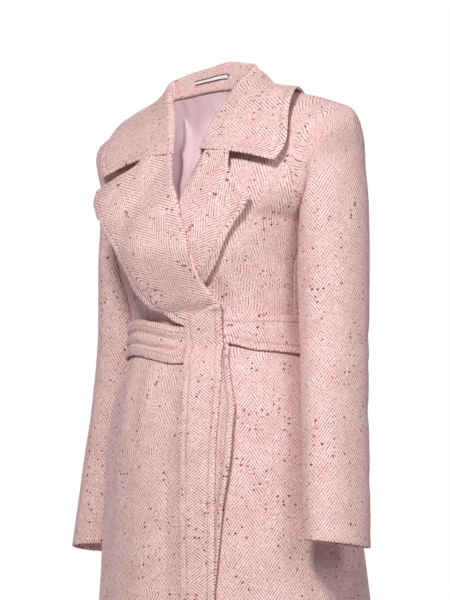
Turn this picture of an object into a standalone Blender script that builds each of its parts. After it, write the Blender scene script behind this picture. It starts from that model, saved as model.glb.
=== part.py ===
"""A wool wrap coat with a tied belt, as it hangs on its wearer, hollow.

Metres, +Z up. The front faces -Y and +X is the wearer's left. The origin lies between the shoulders at the height of
the nape, so the hem is at a negative Z. The right front laps over the left one.

The body is one smooth skin. Each row of it is a level, named by the height of its edge (side seam, then armhole), and
runs from the centre, where the share is 0, to that edge, where the share is 1 on the wearer's left and -1 on the
right. Every panel, and all that lies on a panel, is cut from that skin and moved out along its normals.
"""

import bpy
import numpy as np

WOOL = 0.0025
FOLDED_WOOL = 0.0032  # two layers pressed together: collar, lapels, belt
SATIN = 0.0011
SEAM = 0.0003
LAP = 0.0008  # air between two fronts that lie on each other
LAPEL_LAP = 0.0094  # what the left lapel adds under the right front
LAPEL_LAP_LEVELS = (-0.345, -0.300)  # between them, going up, it comes in
LAP_RAMP = (0.24, 0.05)  # how far outside the left front's edge, as shares, the right front climbs, from and to

HEM = -1.12
UNDERARM = -0.205
SHOULDER = -0.045
NECK_SHARE = 0.32  # where the neck meets the shoulder seam
ROUNDING = 1.5  # how a row above the underarm climbs from its edge to its centre
SQUARENESS = 0.84  # 1 would make each row a plain ellipse

SEAM_BLEND = 0.015  # how near a seam the normals start to turn to the seam's own
ROLL = 0.0012  # the inner radius of a turned edge
COLLAR_ROLL = 0.0016
COLLAR_INSET = 0.0012  # between the stand's foot and the neck edge
COLLAR_HEIGHT = 0.0060  # the least height of the collar's outer face over the chest
RIDGE_HEIGHT = 0.0095  # and over the ridge of the shoulders
RIDGE_LEVELS = (-0.105, -0.060)  # where the one gives way to the other
CHEST_FOOT = -0.200  # the lowest level that the collar's fall is kept clear of
CHEST_ROWS = 121
CHEST_COLUMNS = 161
LAPEL_CURL = 1.3  # 1 would lift a lapel evenly from its roll to its edge
TOP_FADE = 0.35  # how far down the lapel its notched top edge still bends it, as a share
ARMHOLE_BLEND = 0.22  # the share of the sleeve in which its rings change from the armhole's shape to their own
ARMHOLE_REACH = 0.25  # how far out of the armhole the blended rings run, for each share of the sleeve
BELT_EASE = 0.0016  # between the belt and what it lies on
BELT_CREASE = 0.0040
BELT_RIDGES = 3
BELT_STEP = 0.25  # the share in which the belt comes down from the right front to the left one
REAR_CREASE = -0.5  # the share of the back at which the creases begin
END_EASE = 0.8  # 1 would space the front end's rows evenly

TWEED = (0.80, 0.56, 0.55, 1.0)
LILAC = (0.62, 0.47, 0.53, 1.0)
WHITE = (0.86, 0.85, 0.84, 1.0)


class Table:
    """Rows of named columns, read as smooth curves of the first column that never overshoot between two rows."""

    def __init__(self, columns, rows):
        self.values = dict(zip(columns.split(), np.array(rows, float).T))
        self.knots = self.values[columns.split()[0]]

    def at(self, column, where):
        knots, values = self.knots, self.values[column]
        step = np.diff(knots)
        slope = np.diff(values) / step
        before, after = slope[:-1], slope[1:]
        total = np.where(before * after > 0, before + after, 1.0)
        inner = np.where(before * after > 0, 2 * before * after / total, 0.0)
        tangent = np.concatenate([slope[:1], inner, slope[-1:]])
        i = np.clip(np.searchsorted(knots, where, side="right") - 1, 0, len(step) - 1)
        t = np.clip((where - knots[i]) / step[i], 0, 1)
        rise = step[i] * (t * (1 - t) ** 2 * tangent[i] - t**2 * (1 - t) * tangent[i + 1])
        return (1 + 2 * t) * (1 - t) ** 2 * values[i] + t**2 * (3 - 2 * t) * values[i + 1] + rise


# The skirt and bodice up to the underarm: half width, where the side seam lies, and how far front and back reach.
SIDES = (
    # level, side_x, side_y, front_y, back_y
    (-1.120, 0.216, 0.040, -0.140, 0.242),
    (-0.900, 0.204, 0.040, -0.130, 0.236),
    (-0.700, 0.183, 0.038, -0.120, 0.220),
    (-0.600, 0.174, 0.035, -0.122, 0.202),
    (-0.520, 0.167, 0.031, -0.122, 0.178),
    (-0.460, 0.156, 0.027, -0.118, 0.154),
    (-0.410, 0.141, 0.021, -0.107, 0.130),
    (-0.375, 0.130, 0.017, -0.090, 0.116),
    (-0.330, 0.127, 0.014, -0.087, 0.110),
    (-0.300, 0.129, 0.012, -0.098, 0.110),
    (-0.270, 0.131, 0.010, -0.116, 0.112),
    (-0.240, 0.137, 0.014, -0.127, 0.114),
    (-0.205, 0.150, 0.030, -0.127, 0.115),
)
# From the underarm to the shoulder seam the edge is the armhole. The sweep is how far round the row turns, in degrees.
FRONT_YOKE = (
    # level, centre_z, edge_x, edge_y, centre_y, sweep
    (-0.205, -0.205, 0.150, 0.030, -0.127, 90),
    (-0.190, -0.188, 0.160, -0.018, -0.120, 76),
    (-0.165, -0.160, 0.167, -0.040, -0.107, 66),
    (-0.130, -0.118, 0.168, -0.047, -0.084, 58),
    (-0.092, -0.073, 0.176, -0.040, -0.060, 50),
    (-0.063, -0.034, 0.192, -0.015, -0.034, 40),
    (-0.045, -0.002, 0.205, 0.025, -0.006, 30),
)
BACK_YOKE = (
    # level, centre_z, edge_x, edge_y, centre_y, sweep
    (-0.205, -0.205, 0.150, 0.030, 0.115, 90),
    (-0.190, -0.186, 0.158, 0.062, 0.113, 74),
    (-0.160, -0.150, 0.163, 0.079, 0.107, 62),
    (-0.120, -0.104, 0.166, 0.083, 0.096, 52),
    (-0.085, -0.060, 0.176, 0.074, 0.078, 44),
    (-0.060, -0.023, 0.194, 0.050, 0.048, 38),
    (-0.045, -0.002, 0.205, 0.025, -0.006, 30),
)
# How far each front reaches past the centre: the roll line down to the belt, then the free edge.
FRONT_EDGES = Table(
    "level right_x left_x",
    (
        (-1.120, 0.085, -0.105),
        (-0.700, 0.080, -0.095),
        (-0.400, 0.078, -0.075),
        (-0.335, 0.074, -0.045),
        (-0.291, 0.058, -0.020),
        (-0.261, 0.054, -0.002),
        (-0.220, 0.046, 0.020),
        (-0.193, 0.035, 0.035),
        (-0.158, 0.009, 0.041),
        (-0.120, -0.019, 0.049),
        (-0.084, -0.041, 0.058),
        (-0.060, -0.059, 0.065),
        (-0.045, -0.078, 0.078),
    ),
)


# Where each lapel's outer edge lies on its front, from the tip down to the point where it stops turning. The roll level
# is where the same line across the lapel meets the roll line. Lift is how far it stands off the front.
LAPELS = {
    "right": Table(
        "along roll_level level x lift",
        (
            (0.00, -0.122, -0.163, -0.112, 0.022),
            (0.12, -0.150, -0.183, -0.098, 0.028),
            (0.25, -0.178, -0.204, -0.079, 0.026),
            (0.42, -0.215, -0.240, -0.056, 0.019),
            (0.58, -0.248, -0.268, -0.036, 0.016),
            (0.72, -0.275, -0.296, -0.028, 0.013),
            (0.86, -0.300, -0.324, -0.010, 0.009),
            (0.95, -0.315, -0.341, 0.008, 0.006),
            (1.00, -0.326, -0.350, 0.026, 0.003),
        ),
    ),
    "left": Table(
        "along roll_level level x lift",
        (
            (0.00, -0.126, -0.180, 0.126, 0.009),
            (0.15, -0.150, -0.192, 0.118, 0.009),
            (0.32, -0.178, -0.213, 0.105, 0.008),
            (0.45, -0.200, -0.228, 0.098, 0.007),
            (0.58, -0.222, -0.245, 0.091, 0.006),
            (0.70, -0.243, -0.264, 0.082, 0.004),
            (0.85, -0.270, -0.289, 0.060, 0.002),
            (1.00, -0.300, -0.305, 0.030, 0.001),
        ),
    ),
}
# The gorge and the notch: across the top of each lapel, from its roll line past the notch to its tip.
LAPEL_TOPS = {
    "right": Table(
        "across level x lift",
        (
            (0.00, -0.122, -0.010, 0.000),
            (0.40, -0.1210, -0.047, 0.012),
            (0.52, -0.1360, -0.057, 0.015),
            (0.75, -0.149, -0.080, 0.019),
            (1.00, -0.163, -0.112, 0.022),
        ),
    ),
    "left": Table(
        "across level x lift",
        (
            (0.00, -0.126, 0.045, 0.000),
            (0.40, -0.127, 0.090, 0.005),
            (0.52, -0.147, 0.094, 0.006),
            (0.75, -0.165, 0.108, 0.008),
            (1.00, -0.180, 0.126, 0.009),
        ),
    ),
}
NOTCH = 0.40  # the share of the lapel's top that is sewn to the collar
# The collar, from the middle of the nape, where the turn is 0, to its front end at the gorge, where it is 1: how much
# it folds over the front's edge instead of standing up.
COLLAR = Table(
    "turn fold",
    (
        (0.00, 0.00),
        (0.30, 0.00),
        (0.50, 0.05),
        (0.65, 0.30),
        (0.80, 0.65),
        (0.92, 0.92),
        (1.00, 1.00),
    ),
)
# How far its roll leans in, the height of its stand, how soon its fall drops (0 at once, 0.5 evenly) and how high it
# bows on the way, and where its outer edge lies.
COLLAR_SIDES = {
    "right": Table(
        "turn lean stand drop bow x y z",
        (
            (0.00, 0.000, 0.027, 0.22, 0.000, 0.000, 0.090, -0.058),
            (0.25, 0.000, 0.025, 0.26, 0.000, -0.080, 0.086, -0.055),
            (0.42, -0.002, 0.021, 0.50, 0.000, -0.126, 0.058, -0.042),
            (0.54, -0.003, 0.019, 0.56, 0.000, -0.145, 0.014, -0.026),
            (0.68, 0.000, 0.013, 0.56, 0.000, -0.156, -0.022, -0.044),
            (0.80, 0.000, 0.008, 0.50, 0.002, -0.160, -0.050, -0.073),
            (0.92, 0.000, 0.004, 0.48, 0.006, -0.152, -0.072, -0.103),
            (1.00, 0.000, 0.002, 0.50, 0.013, -0.128, -0.090, -0.126),
        ),
    ),
    "left": Table(
        "turn lean stand drop bow x y z",
        (
            (0.00, 0.000, 0.027, 0.22, 0.000, 0.000, 0.090, -0.058),
            (0.12, 0.000, 0.033, 0.25, 0.000, 0.040, 0.089, -0.058),
            (0.25, 0.000, 0.031, 0.30, 0.000, 0.080, 0.086, -0.058),
            (0.42, -0.002, 0.027, 0.40, 0.000, 0.122, 0.058, -0.044),
            (0.54, -0.004, 0.025, 0.38, 0.000, 0.140, 0.014, -0.030),
            (0.68, -0.004, 0.015, 0.43, 0.000, 0.152, -0.018, -0.044),
            (0.80, -0.001, 0.008, 0.46, 0.000, 0.163, -0.043, -0.078),
            (0.93, 0.000, 0.004, 0.48, 0.000, 0.169, -0.055, -0.114),
            (0.97, 0.000, 0.003, 0.49, 0.000, 0.166, -0.062, -0.124),
            (1.00, 0.000, 0.002, 0.50, 0.000, 0.156, -0.069, -0.131),
        ),
    ),
}
GORGE_LEVEL = {"right": -0.1215, "left": -0.1255}
# A sleeve, from the armhole down to the cuff: its outer and inner lines, its half depth, where its middle lies on each
# side, and how much each ring tips up at the front.
SLEEVE = Table(
    "along outer_x outer_z inner_x inner_z depth left_y right_y tip",
    (
        (0.00, 0.2090, -0.045, 0.1505, -0.2060, 0.058, 0.028, 0.028, 0.00),
        (0.03, 0.2110, -0.048, 0.1515, -0.2075, 0.059, 0.029, 0.035, 0.00),
        (0.08, 0.2125, -0.060, 0.1512, -0.2110, 0.060, 0.030, 0.044, 0.00),
        (0.15, 0.2150, -0.084, 0.1485, -0.2170, 0.060, 0.031, 0.050, 0.00),
        (0.24, 0.2195, -0.120, 0.1440, -0.2290, 0.060, 0.032, 0.048, 0.00),
        (0.34, 0.2240, -0.170, 0.1390, -0.2500, 0.059, 0.034, 0.043, 0.00),
        (0.45, 0.2245, -0.240, 0.1350, -0.2850, 0.058, 0.036, 0.038, 0.00),
        (0.58, 0.2240, -0.330, 0.1385, -0.3450, 0.057, 0.035, 0.038, 0.02),
        (0.72, 0.2320, -0.432, 0.1560, -0.4380, 0.059, 0.017, 0.040, 0.05),
        (0.86, 0.2475, -0.540, 0.1750, -0.5400, 0.059, -0.005, 0.037, 0.08),
        (1.00, 0.2590, -0.6475, 0.1860, -0.6425, 0.057, -0.019, 0.027, 0.08),
    ),
)
BELT_LEVEL = -0.360
# The belt on the front: how high its middle runs and how wide it lies, and how strongly it creases along its length.
BELT = Table(
    "share level width crease",
    (
        (-1.00, -0.3600, 0.051, 0.4),
        (-0.33, -0.3595, 0.051, 1.0),
        (-0.06, -0.3705, 0.052, 1.0),
        (0.03, -0.3765, 0.052, 0.8),
        (0.10, -0.3775, 0.051, 0.2),
        (0.20, -0.3680, 0.044, 0.0),
        (0.35, -0.3555, 0.037, 0.0),
        (0.62, -0.3605, 0.047, 0.0),
        (1.00, -0.3600, 0.051, 0.0),
    ),
)
# The end that comes over the belt and hangs in front, by its two edges, and its height over the right front.
FRONT_END = Table(
    "level left_x right_x left_height right_height",
    (
        (-0.850, 0.044, 0.088, 0.0066, 0.0066),
        (-0.700, 0.044, 0.088, 0.0066, 0.0066),
        (-0.560, 0.044, 0.088, 0.0068, 0.0066),
        (-0.480, 0.044, 0.089, 0.0072, 0.0066),
        (-0.430, 0.042, 0.087, 0.0076, 0.0068),
        (-0.390, 0.034, 0.079, 0.0090, 0.0078),
        (-0.365, 0.031, 0.076, 0.0122, 0.0112),
        (-0.345, 0.030, 0.075, 0.0165, 0.0160),
    ),
)
# The other end, by its free edge, and how far that edge stands off the left front.
BACK_END = Table(
    "level right_x ridge",
    (
        (-0.800, 0.084, 0.0000),
        (-0.713, 0.087, 0.0000),
        (-0.640, 0.094, 0.0020),
        (-0.592, 0.098, 0.0045),
        (-0.508, 0.106, 0.0075),
        (-0.462, 0.106, 0.0080),
        (-0.426, 0.098, 0.0060),
        (-0.377, 0.082, 0.0020),
    ),
)
BACK_END_LEVELS = (-0.800, -0.377)
BACK_END_WIDTH = 0.036
END_TOP = -0.350  # where the front end folds over, on its lower side
END_RISE = 0.028  # how much higher it folds over on its other side
END_FOOT = -0.850
END_GAP = 0.002  # between the two ends, and between the one behind and the belt
END_TAIL = 0.012  # how far it runs on behind, after the fold


class Half:
    """One half of the skin, front or back. Below the underarm both halves share one side line."""

    def __init__(self, far_column, yoke):
        columns = "level centre_z edge_x edge_y centre_y sweep"
        skirt = [(row[0], row[0], row[1], row[2], row[far_column], 90) for row in SIDES]
        self.skirt, self.yoke = Table(columns, skirt), Table(columns, yoke)

    def at(self, column, level):
        return np.where(level < UNDERARM, self.skirt.at(column, level), self.yoke.at(column, level))


FRONT = Half(3, FRONT_YOKE)
BACK = Half(4, BACK_YOKE)


def skin_point(table, level, share):
    """Points of the skin. A row is a squared ellipse between its two edges, and climbs towards its centre."""
    sweep = np.radians(table.at("sweep", level))
    turned = np.abs(share) * sweep
    reach = np.sin(turned) ** SQUARENESS / np.sin(sweep) ** SQUARENESS
    last = np.maximum(np.cos(sweep), 0) ** SQUARENESS
    depth = (np.maximum(np.cos(turned), 0) ** SQUARENESS - last) / (1 - last)
    edge_y, centre_z = table.at("edge_y", level), table.at("centre_z", level)
    x = np.sign(share) * table.at("edge_x", level) * reach
    y = edge_y + (table.at("centre_y", level) - edge_y) * depth
    z = centre_z + (level - centre_z) * np.abs(share) ** ROUNDING
    return np.stack([x, y, z], axis=-1)


def unit(vectors):
    """Vectors brought to a length of 1."""
    return vectors / np.linalg.norm(vectors, axis=-1, keepdims=True)


def bare_normals(table, level, share):
    """The outward normals of one half of the skin."""
    small = 1e-3
    up = skin_point(table, np.minimum(level + small, SHOULDER), share)
    up = up - skin_point(table, np.maximum(level - small, HEM), share)
    low, high = np.maximum(share - small, -1), np.minimum(share + small, 1)
    across = skin_point(table, level, high) - skin_point(table, level, low)
    return unit(np.cross(across, up) if table is FRONT else np.cross(up, across))


def skin(table, level, share):
    """Points of the skin and its outward normals, which both halves share at the side and shoulder seams."""
    level, share = np.broadcast_arrays(np.asarray(level, float), np.asarray(share, float))
    at_side = smooth_step(0.93, 1.0, np.abs(share)) * smooth_step(UNDERARM + SEAM_BLEND, UNDERARM, level)
    at_shoulder = smooth_step(SHOULDER - SEAM_BLEND, SHOULDER, level)
    other = bare_normals(BACK if table is FRONT else FRONT, level, share)
    mixed = np.maximum(at_side, at_shoulder)[..., None] / 2
    normals = unit((1 - mixed) * bare_normals(table, level, share) + mixed * other)
    return skin_point(table, level, share), normals


def share_at(level, x):
    """The share at which a front row reaches this distance from the centre."""
    sweep = np.radians(FRONT.at("sweep", level))
    reach = np.abs(x) / FRONT.at("edge_x", level) * np.sin(sweep) ** SQUARENESS
    return np.sign(x) * np.arcsin(np.clip(reach ** (1 / SQUARENESS), 0, 1)) / sweep


def front_share(side, level):
    """The share at which a front's inner edge lies."""
    return share_at(level, FRONT_EDGES.at(side + "_x", level))


def smooth_step(low, high, where):
    """0 at the low end, 1 at the high end, and level at both."""
    t = np.clip((where - low) / (high - low), 0, 1)
    return t * t * (3 - 2 * t)


def lap_height(level, share):
    """How far the right front stands off the skin, to clear the left front and, above the belt, the left lapel."""
    under = front_share("left", level)
    lapel = LAPEL_LAP * smooth_step(*LAPEL_LAP_LEVELS, level)
    return (WOOL + LAP + lapel) * smooth_step(under - LAP_RAMP[0], under - LAP_RAMP[1], share)


def front_surface(side, level, share):
    """The outer face of a front, and its normals."""
    points, normals = skin(FRONT, level, share)
    if side == "right":
        points = points + normals * lap_height(level, share)[..., None]
    return points, normals


def grid_normals(points, closed):
    """Normals of a grid, from the differences between neighbours along its two ways."""
    if closed:
        along = np.roll(points, -1, axis=1) - np.roll(points, 1, axis=1)
    else:
        along = np.gradient(points, axis=1)
    return unit(np.cross(along, np.gradient(points, axis=0)))


def add_wall(name, outer, inner, colour, closed=False):
    """A closed solid between two grids of the same size. A closed grid joins its last column to its first."""
    rows, columns = outer.shape[:2]
    index = np.arange(rows * columns).reshape(rows, columns)
    if closed:
        index = np.concatenate([index, index[:, :1]], axis=1)
    low, high = index[:-1], index[1:]
    quads = np.stack([low[:, :-1], low[:, 1:], high[:, 1:], high[:, :-1]], axis=-1).reshape(-1, 4)
    back = quads[:, ::-1] + rows * columns
    rims = [index[0][::-1], index[-1]]
    if not closed:
        rims += [index[:, 0], index[::-1, -1]]
    for rim in rims:
        edge = np.stack([rim[:-1], rim[1:], rim[1:] + rows * columns, rim[:-1] + rows * columns], axis=-1)
        back = np.concatenate([back, edge])
    points = np.concatenate([outer.reshape(-1, 3), inner.reshape(-1, 3)])
    faces = np.concatenate([quads, back])
    mesh = bpy.data.meshes.new(name)
    mesh.from_pydata(points.tolist(), [], faces.tolist())
    mesh.validate()
    mesh.materials.append(cloth_material(name, colour))
    mesh.shade_smooth()
    mesh.set_sharp_from_angle(angle=np.radians(50))
    obj = bpy.data.objects.new(name, mesh)
    bpy.context.scene.collection.objects.link(obj)
    return obj


def cloth_material(name, colour):
    material = bpy.data.materials.new(name)
    material.use_nodes = True
    shader = material.node_tree.nodes["Principled BSDF"]
    shader.inputs["Base Color"].default_value = colour
    shader.inputs["Roughness"].default_value = 0.9
    shader.inputs["Metallic"].default_value = 0.0
    return material


# Levels of the body's rows: wide apart in the skirt, close where the form turns fast.
SKIRT_LEVELS = np.linspace(HEM, -0.50, 9)
WAIST_LEVELS = np.array([-0.460, -0.425, -0.400, -0.375, -0.350, -0.330, -0.305, -0.280, -0.250])
YOKE_LEVELS = np.array([UNDERARM, -0.198, -0.190, -0.173, -0.151, -0.127, -0.103, -0.083, -0.066, -0.055, SHOULDER])
LEVELS = np.concatenate([SKIRT_LEVELS, WAIST_LEVELS, [-0.225], YOKE_LEVELS])
FRONT_COLUMNS = 15
BACK_COLUMNS = 21
NECK_DIP = 0.0010  # how far below the shoulder seam's level the back neckline runs
SHORT_ROW = 0.006  # a lapel takes the front's rows, save one that would lie this near to its own end
GORGE_GAP = {"right": 0.0022, "left": 0.0010}  # between a lapel's top and the collar
TURN_COLUMNS = 5
LAPEL_COLUMNS = 8
COLLAR_STATIONS = 14
NAPE_TURN = 0.5  # the turn at which the neckline passes from the back to the front
STAND_COLUMNS = 3
FALL_COLUMNS = 6
SLEEVE_ROWS = 19
SLEEVE_COLUMNS = 2 * len(YOKE_LEVELS) - 2
BELT_ROWS = 7
BELT_COLUMNS = 23
END_ROWS = 14
END_COLUMNS = 4
LINING_FOOT = -0.310
LINING_GAP = 0.0015
LINING_SHORT = 0.08  # how far below the back's top row it ends, as a share of that row
LABEL = 0.0006
LABEL_STATIONS = (-2, -1, 0, 1, 2)  # the collar's stations it spans, counted from the nape
LABEL_RISE = (0.40, 0.65)  # its lower and upper edge, as shares of the stand's height


def add_front(side):
    """A front, from its side seam or armhole to its roll line and free edge."""
    ease = np.linspace(0, 1, FRONT_COLUMNS)[None, :]
    level = LEVELS[:, None]
    free = front_share(side, level)
    first, last = (-1 + SEAM * 2, free) if side == "right" else (free, 1 - SEAM * 2)
    share = first + (last - first) * ease
    level = np.minimum(level + 0 * share, SHOULDER - SEAM)
    outer, normals = front_surface(side, level, share)
    return add_wall("front_" + side, outer, outer - normals * WOOL, TWEED)


def neck_level(share):
    """The level at which the back panel ends: the shoulder seam, and lower across the neck."""
    dip = smooth_step(NECK_SHARE, 0.4 * NECK_SHARE, np.abs(share))
    return SHOULDER - SEAM - NECK_DIP * dip


def back_face():
    """The back's outer face, from side seam to side seam and up to the shoulder seams and the neck, and its normals."""
    share = np.linspace(-1 + SEAM * 2, 1 - SEAM * 2, BACK_COLUMNS)[None, ::-1]
    rise = (LEVELS[:, None] - HEM) / (SHOULDER - HEM)
    return skin(BACK, HEM + rise * (neck_level(share) - HEM), share)


def add_back():
    """The back, in one piece."""
    outer, normals = back_face()
    return add_wall("back", outer, outer - normals * WOOL, TWEED)


def turned_edge(edge, normals, beyond, radius, thickness):
    """The two faces of a half turn round an edge: it starts in the panel's own plane and ends lying over the panel."""
    angles = np.radians(np.linspace(-90, 90, TURN_COLUMNS))[None, :, None]
    centre = edge + normals * radius + beyond * SEAM * 2
    spoke = beyond[:, None] * np.cos(angles) + normals[:, None] * np.sin(angles)
    centre = centre[:, None]
    return centre + spoke * (radius + thickness), centre + spoke * radius


def roll_line(side, level):
    """Points of a front's inner edge, its normals there, and the way that leads out past the edge."""
    small = 1e-3
    share = front_share(side, level)
    edge, normals = front_surface(side, level, share)
    after, _ = front_surface(side, level + small, front_share(side, level + small))
    before, _ = front_surface(side, level - small, front_share(side, level - small))
    along = unit(after - before)
    beyond = unit(np.cross(normals, along) if side == "left" else np.cross(along, normals))
    return edge, normals, beyond


def lapel_faces(side):
    """Both faces of a lapel, which turns round its front's edge and then lies back on it, ever higher to its edge."""
    table, top = LAPELS[side], LAPEL_TOPS[side]
    ends = table.at("roll_level", np.array([0.0, 1.0]))
    inside = LEVELS[(LEVELS < ends[0] - SHORT_ROW) & (LEVELS > ends[1] + SHORT_ROW)]
    roll_level = np.concatenate([ends[:1], inside[::-1], ends[1:]])
    fine = np.linspace(0, 1, 501)
    along = np.interp(-roll_level, -table.at("roll_level", fine), fine)
    roll_x = FRONT_EDGES.at(side + "_x", roll_level)
    outer_turn, inner_turn = turned_edge(*roll_line(side, roll_level), ROLL, FOLDED_WOOL)
    across = np.linspace(0, 1, LAPEL_COLUMNS + 1)[None, 1:]
    along, roll_level, roll_x = along[:, None], roll_level[:, None], roll_x[:, None]
    fade = 1 - smooth_step(0.0, TOP_FADE, along)

    def lies(column, start):
        straight = start + (table.at(column, along) - start) * across
        first, last = top.at(column, np.array([0.0, 1.0]))
        bend = top.at(column, across) - (first + (last - first) * across)
        return straight + fade * bend

    level, x = lies("level", roll_level), lies("x", roll_x)
    lift = table.at("lift", along) * across**LAPEL_CURL
    level = level - GORGE_GAP[side] * fade * (across <= NOTCH + 0.01)
    points, normals = front_surface(side, level, share_at(level, x))
    outer = points + normals * (2 * ROLL + FOLDED_WOOL + lift)[..., None]
    inner = outer - normals * FOLDED_WOOL
    outer, inner = np.concatenate([outer_turn, outer], axis=1), np.concatenate([inner_turn, inner], axis=1)
    return (outer, inner) if side == "left" else (outer[:, ::-1], inner[:, ::-1])


def add_lapel(side):
    """A lapel. Rows run from the gorge down to the point where it stops turning."""
    outer, inner = lapel_faces(side)
    return add_wall("lapel_" + side, outer[::-1], inner[::-1], TWEED)


def neckline(side):
    """Stations of the seam that carries the collar, from the nape to one gorge: points, outward normals, ways past."""
    turns = np.linspace(0, 1, COLLAR_STATIONS)
    sign = -1 if side == "right" else 1
    on_back = turns <= NAPE_TURN
    share = sign * NECK_SHARE * turns / NAPE_TURN
    level = neck_level(share)
    edge, normals = skin(BACK, level, share)
    level = SHOULDER - SEAM + (GORGE_LEVEL[side] - SHOULDER) * (turns - NAPE_TURN) / (1 - NAPE_TURN)
    level = np.minimum(level, SHOULDER - SEAM)
    front_edge, front_normals = front_surface(side, level, front_share(side, level))
    on_back = on_back[:, None]
    edge = np.where(on_back, edge, front_edge)
    normals = np.where(on_back, normals, front_normals)
    along = unit(np.gradient(edge, axis=0))
    beyond = unit(np.cross(along, normals) if side == "left" else np.cross(normals, along))
    return turns, edge, normals, beyond


def collar_face(side):
    """The outer face of half the collar: the stand, the turn over its top, and the fall down to the outer edge."""
    turns, edge, normals, beyond = neckline(side)
    fold = COLLAR.at("fold", turns)[:, None]
    level_beyond = unit(beyond * (1, 1, 0))
    top = unit((1 - fold) * np.array((0, 0, 1)) + fold * beyond)
    out = unit(-(1 - fold) * level_beyond + fold * normals)
    thick = FOLDED_WOOL
    foot = edge + beyond * (COLLAR_INSET + (1 - fold) * (COLLAR_INSET + thick)) - fold * out * thick
    sides = COLLAR_SIDES[side]
    head = foot + top * sides.at("stand", turns)[:, None] + level_beyond * sides.at("lean", turns)[:, None]
    rise = np.linspace(0, 1, STAND_COLUMNS)[None, :-1, None]
    stand = foot[:, None] + (head - foot)[:, None] * rise
    angles = np.radians(np.linspace(-90, 90, TURN_COLUMNS))[None, :, None]
    radius = COLLAR_ROLL + (1 - fold[:, None]) * COLLAR_ROLL
    centre = (head + out * thick)[:, None] + out[:, None] * radius
    spoke = top[:, None] * np.cos(angles) + out[:, None] * np.sin(angles)
    turn = centre + spoke * (radius + thick)
    fall_start = turn[:, -1:]
    hem = np.stack([sides.at(axis, turns) for axis in "xyz"], axis=-1)[:, None]
    drop = sides.at("drop", turns)[:, None, None]
    bend = fall_start + (hem - fall_start) * np.concatenate([drop, drop, 1 - drop], axis=-1)
    bend[..., 2] += sides.at("bow", turns)[:, None]
    t = np.linspace(0, 1, FALL_COLUMNS + 1)[None, 1:, None]
    fall = (1 - t) ** 2 * fall_start + 2 * t * (1 - t) * bend + t**2 * hem
    return np.concatenate([stand, turn, fall], axis=1)


def stand_off(points):
    """The collar's points, those that lie too near to the shoulders and chest moved out."""
    share = np.linspace(-1, 1, CHEST_COLUMNS)[None, :]
    level = np.linspace(CHEST_FOOT, SHOULDER, CHEST_ROWS)[:, None]
    laps = {FRONT: lap_height(level, share), BACK: 0 * level * share}
    skins = [(*skin(table, level, share), laps[table]) for table in (FRONT, BACK)]
    near, normals = (np.concatenate([part[k].reshape(-1, 3) for part in skins]) for k in (0, 1))
    near = near + normals * np.concatenate([part[2].ravel() for part in skins])[:, None]
    flat = points.reshape(-1, 3)
    nearest = np.argmin(((flat[:, None] - near[None]) ** 2).sum(axis=-1), axis=1)
    above = ((flat - near[nearest]) * normals[nearest]).sum(axis=-1)
    levels = np.tile(np.broadcast_to(level, laps[FRONT].shape).ravel(), 2)[nearest]
    least = COLLAR_HEIGHT + (RIDGE_HEIGHT - COLLAR_HEIGHT) * smooth_step(*RIDGE_LEVELS, levels)
    short = np.maximum(least - above, 0)[:, None]
    return (flat + normals[nearest] * short).reshape(points.shape)


def whole_collar_face():
    """The collar's outer face from the right gorge to the left one, and its normals, which point into the cloth."""
    outer = np.concatenate([collar_face("right")[::-1], collar_face("left")[1:]])
    fall = STAND_COLUMNS + TURN_COLUMNS - 1
    outer[:, fall:] = stand_off(outer[:, fall:])
    return outer, grid_normals(outer, False)


def add_collar():
    """The collar in one piece, from gorge to gorge. Its inner face is the outer one moved in along its own normals."""
    outer, normals = whole_collar_face()
    inner = outer + normals * FOLDED_WOOL
    return add_wall("collar", outer[:, ::-1], inner[:, ::-1], TWEED)


def armhole():
    """The armhole as a loop of the panels' own rows, up the front and down the back: points, normals, ways out."""
    levels = np.minimum(YOKE_LEVELS, SHOULDER - SEAM)
    front, front_normals = skin(FRONT, levels, 1.0)
    rear, rear_normals = skin(BACK, levels[-2:0:-1], 1.0)
    points, normals = np.concatenate([front, rear]), np.concatenate([front_normals, rear_normals])
    along = np.roll(points, -1, axis=0) - np.roll(points, 1, axis=0)
    return points, normals, unit(np.cross(along, normals))


def sleeve_faces(side):
    """Both faces of a sleeve, built on the wearer's left: rings from the cuff's plane up to the armhole's."""
    along = np.concatenate([[0, 0.02, 0.05], np.linspace(0.09, 1, SLEEVE_ROWS - 3)])
    angle = 2 * np.pi * np.arange(SLEEVE_COLUMNS) / SLEEVE_COLUMNS
    middle_y = SLEEVE.at(side + "_y", along)
    top = np.stack([SLEEVE.at("outer_x", along), middle_y, SLEEVE.at("outer_z", along)], axis=-1)
    bottom = np.stack([SLEEVE.at("inner_x", along), middle_y, SLEEVE.at("inner_z", along)], axis=-1)
    centre, spoke = (top + bottom)[:, None] / 2, (top - bottom)[:, None] / 2
    forward = SLEEVE.at("depth", along)[:, None] * np.sin(angle)
    tip = SLEEVE.at("tip", along)[:, None]
    rings = centre - spoke * np.cos(angle)[None, :, None]
    rings = rings + np.stack([0 * forward, -forward, forward * tip], axis=-1)
    loop, loop_normals, away = armhole()
    loop = loop + away * SEAM * 2
    blend = smooth_step(0.0, ARMHOLE_BLEND, along)[:, None, None]
    reach = along[:, None, None] * ARMHOLE_REACH
    rings = (1 - blend) * (loop + away * reach) + blend * rings
    rings[0] = loop
    rings = rings[::-1]
    normals = unit((1 - blend[::-1]) * loop_normals + blend[::-1] * grid_normals(rings, True))
    return rings, rings - normals * WOOL


def add_sleeve(side):
    """A set-in sleeve, open at the armhole and at the cuff."""
    outer, inner = sleeve_faces(side)
    if side == "right":
        outer, inner = outer[:, ::-1] * (-1, 1, 1), inner[:, ::-1] * (-1, 1, 1)
    return add_wall("sleeve_" + side, outer, inner, TWEED, closed=True)


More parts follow.
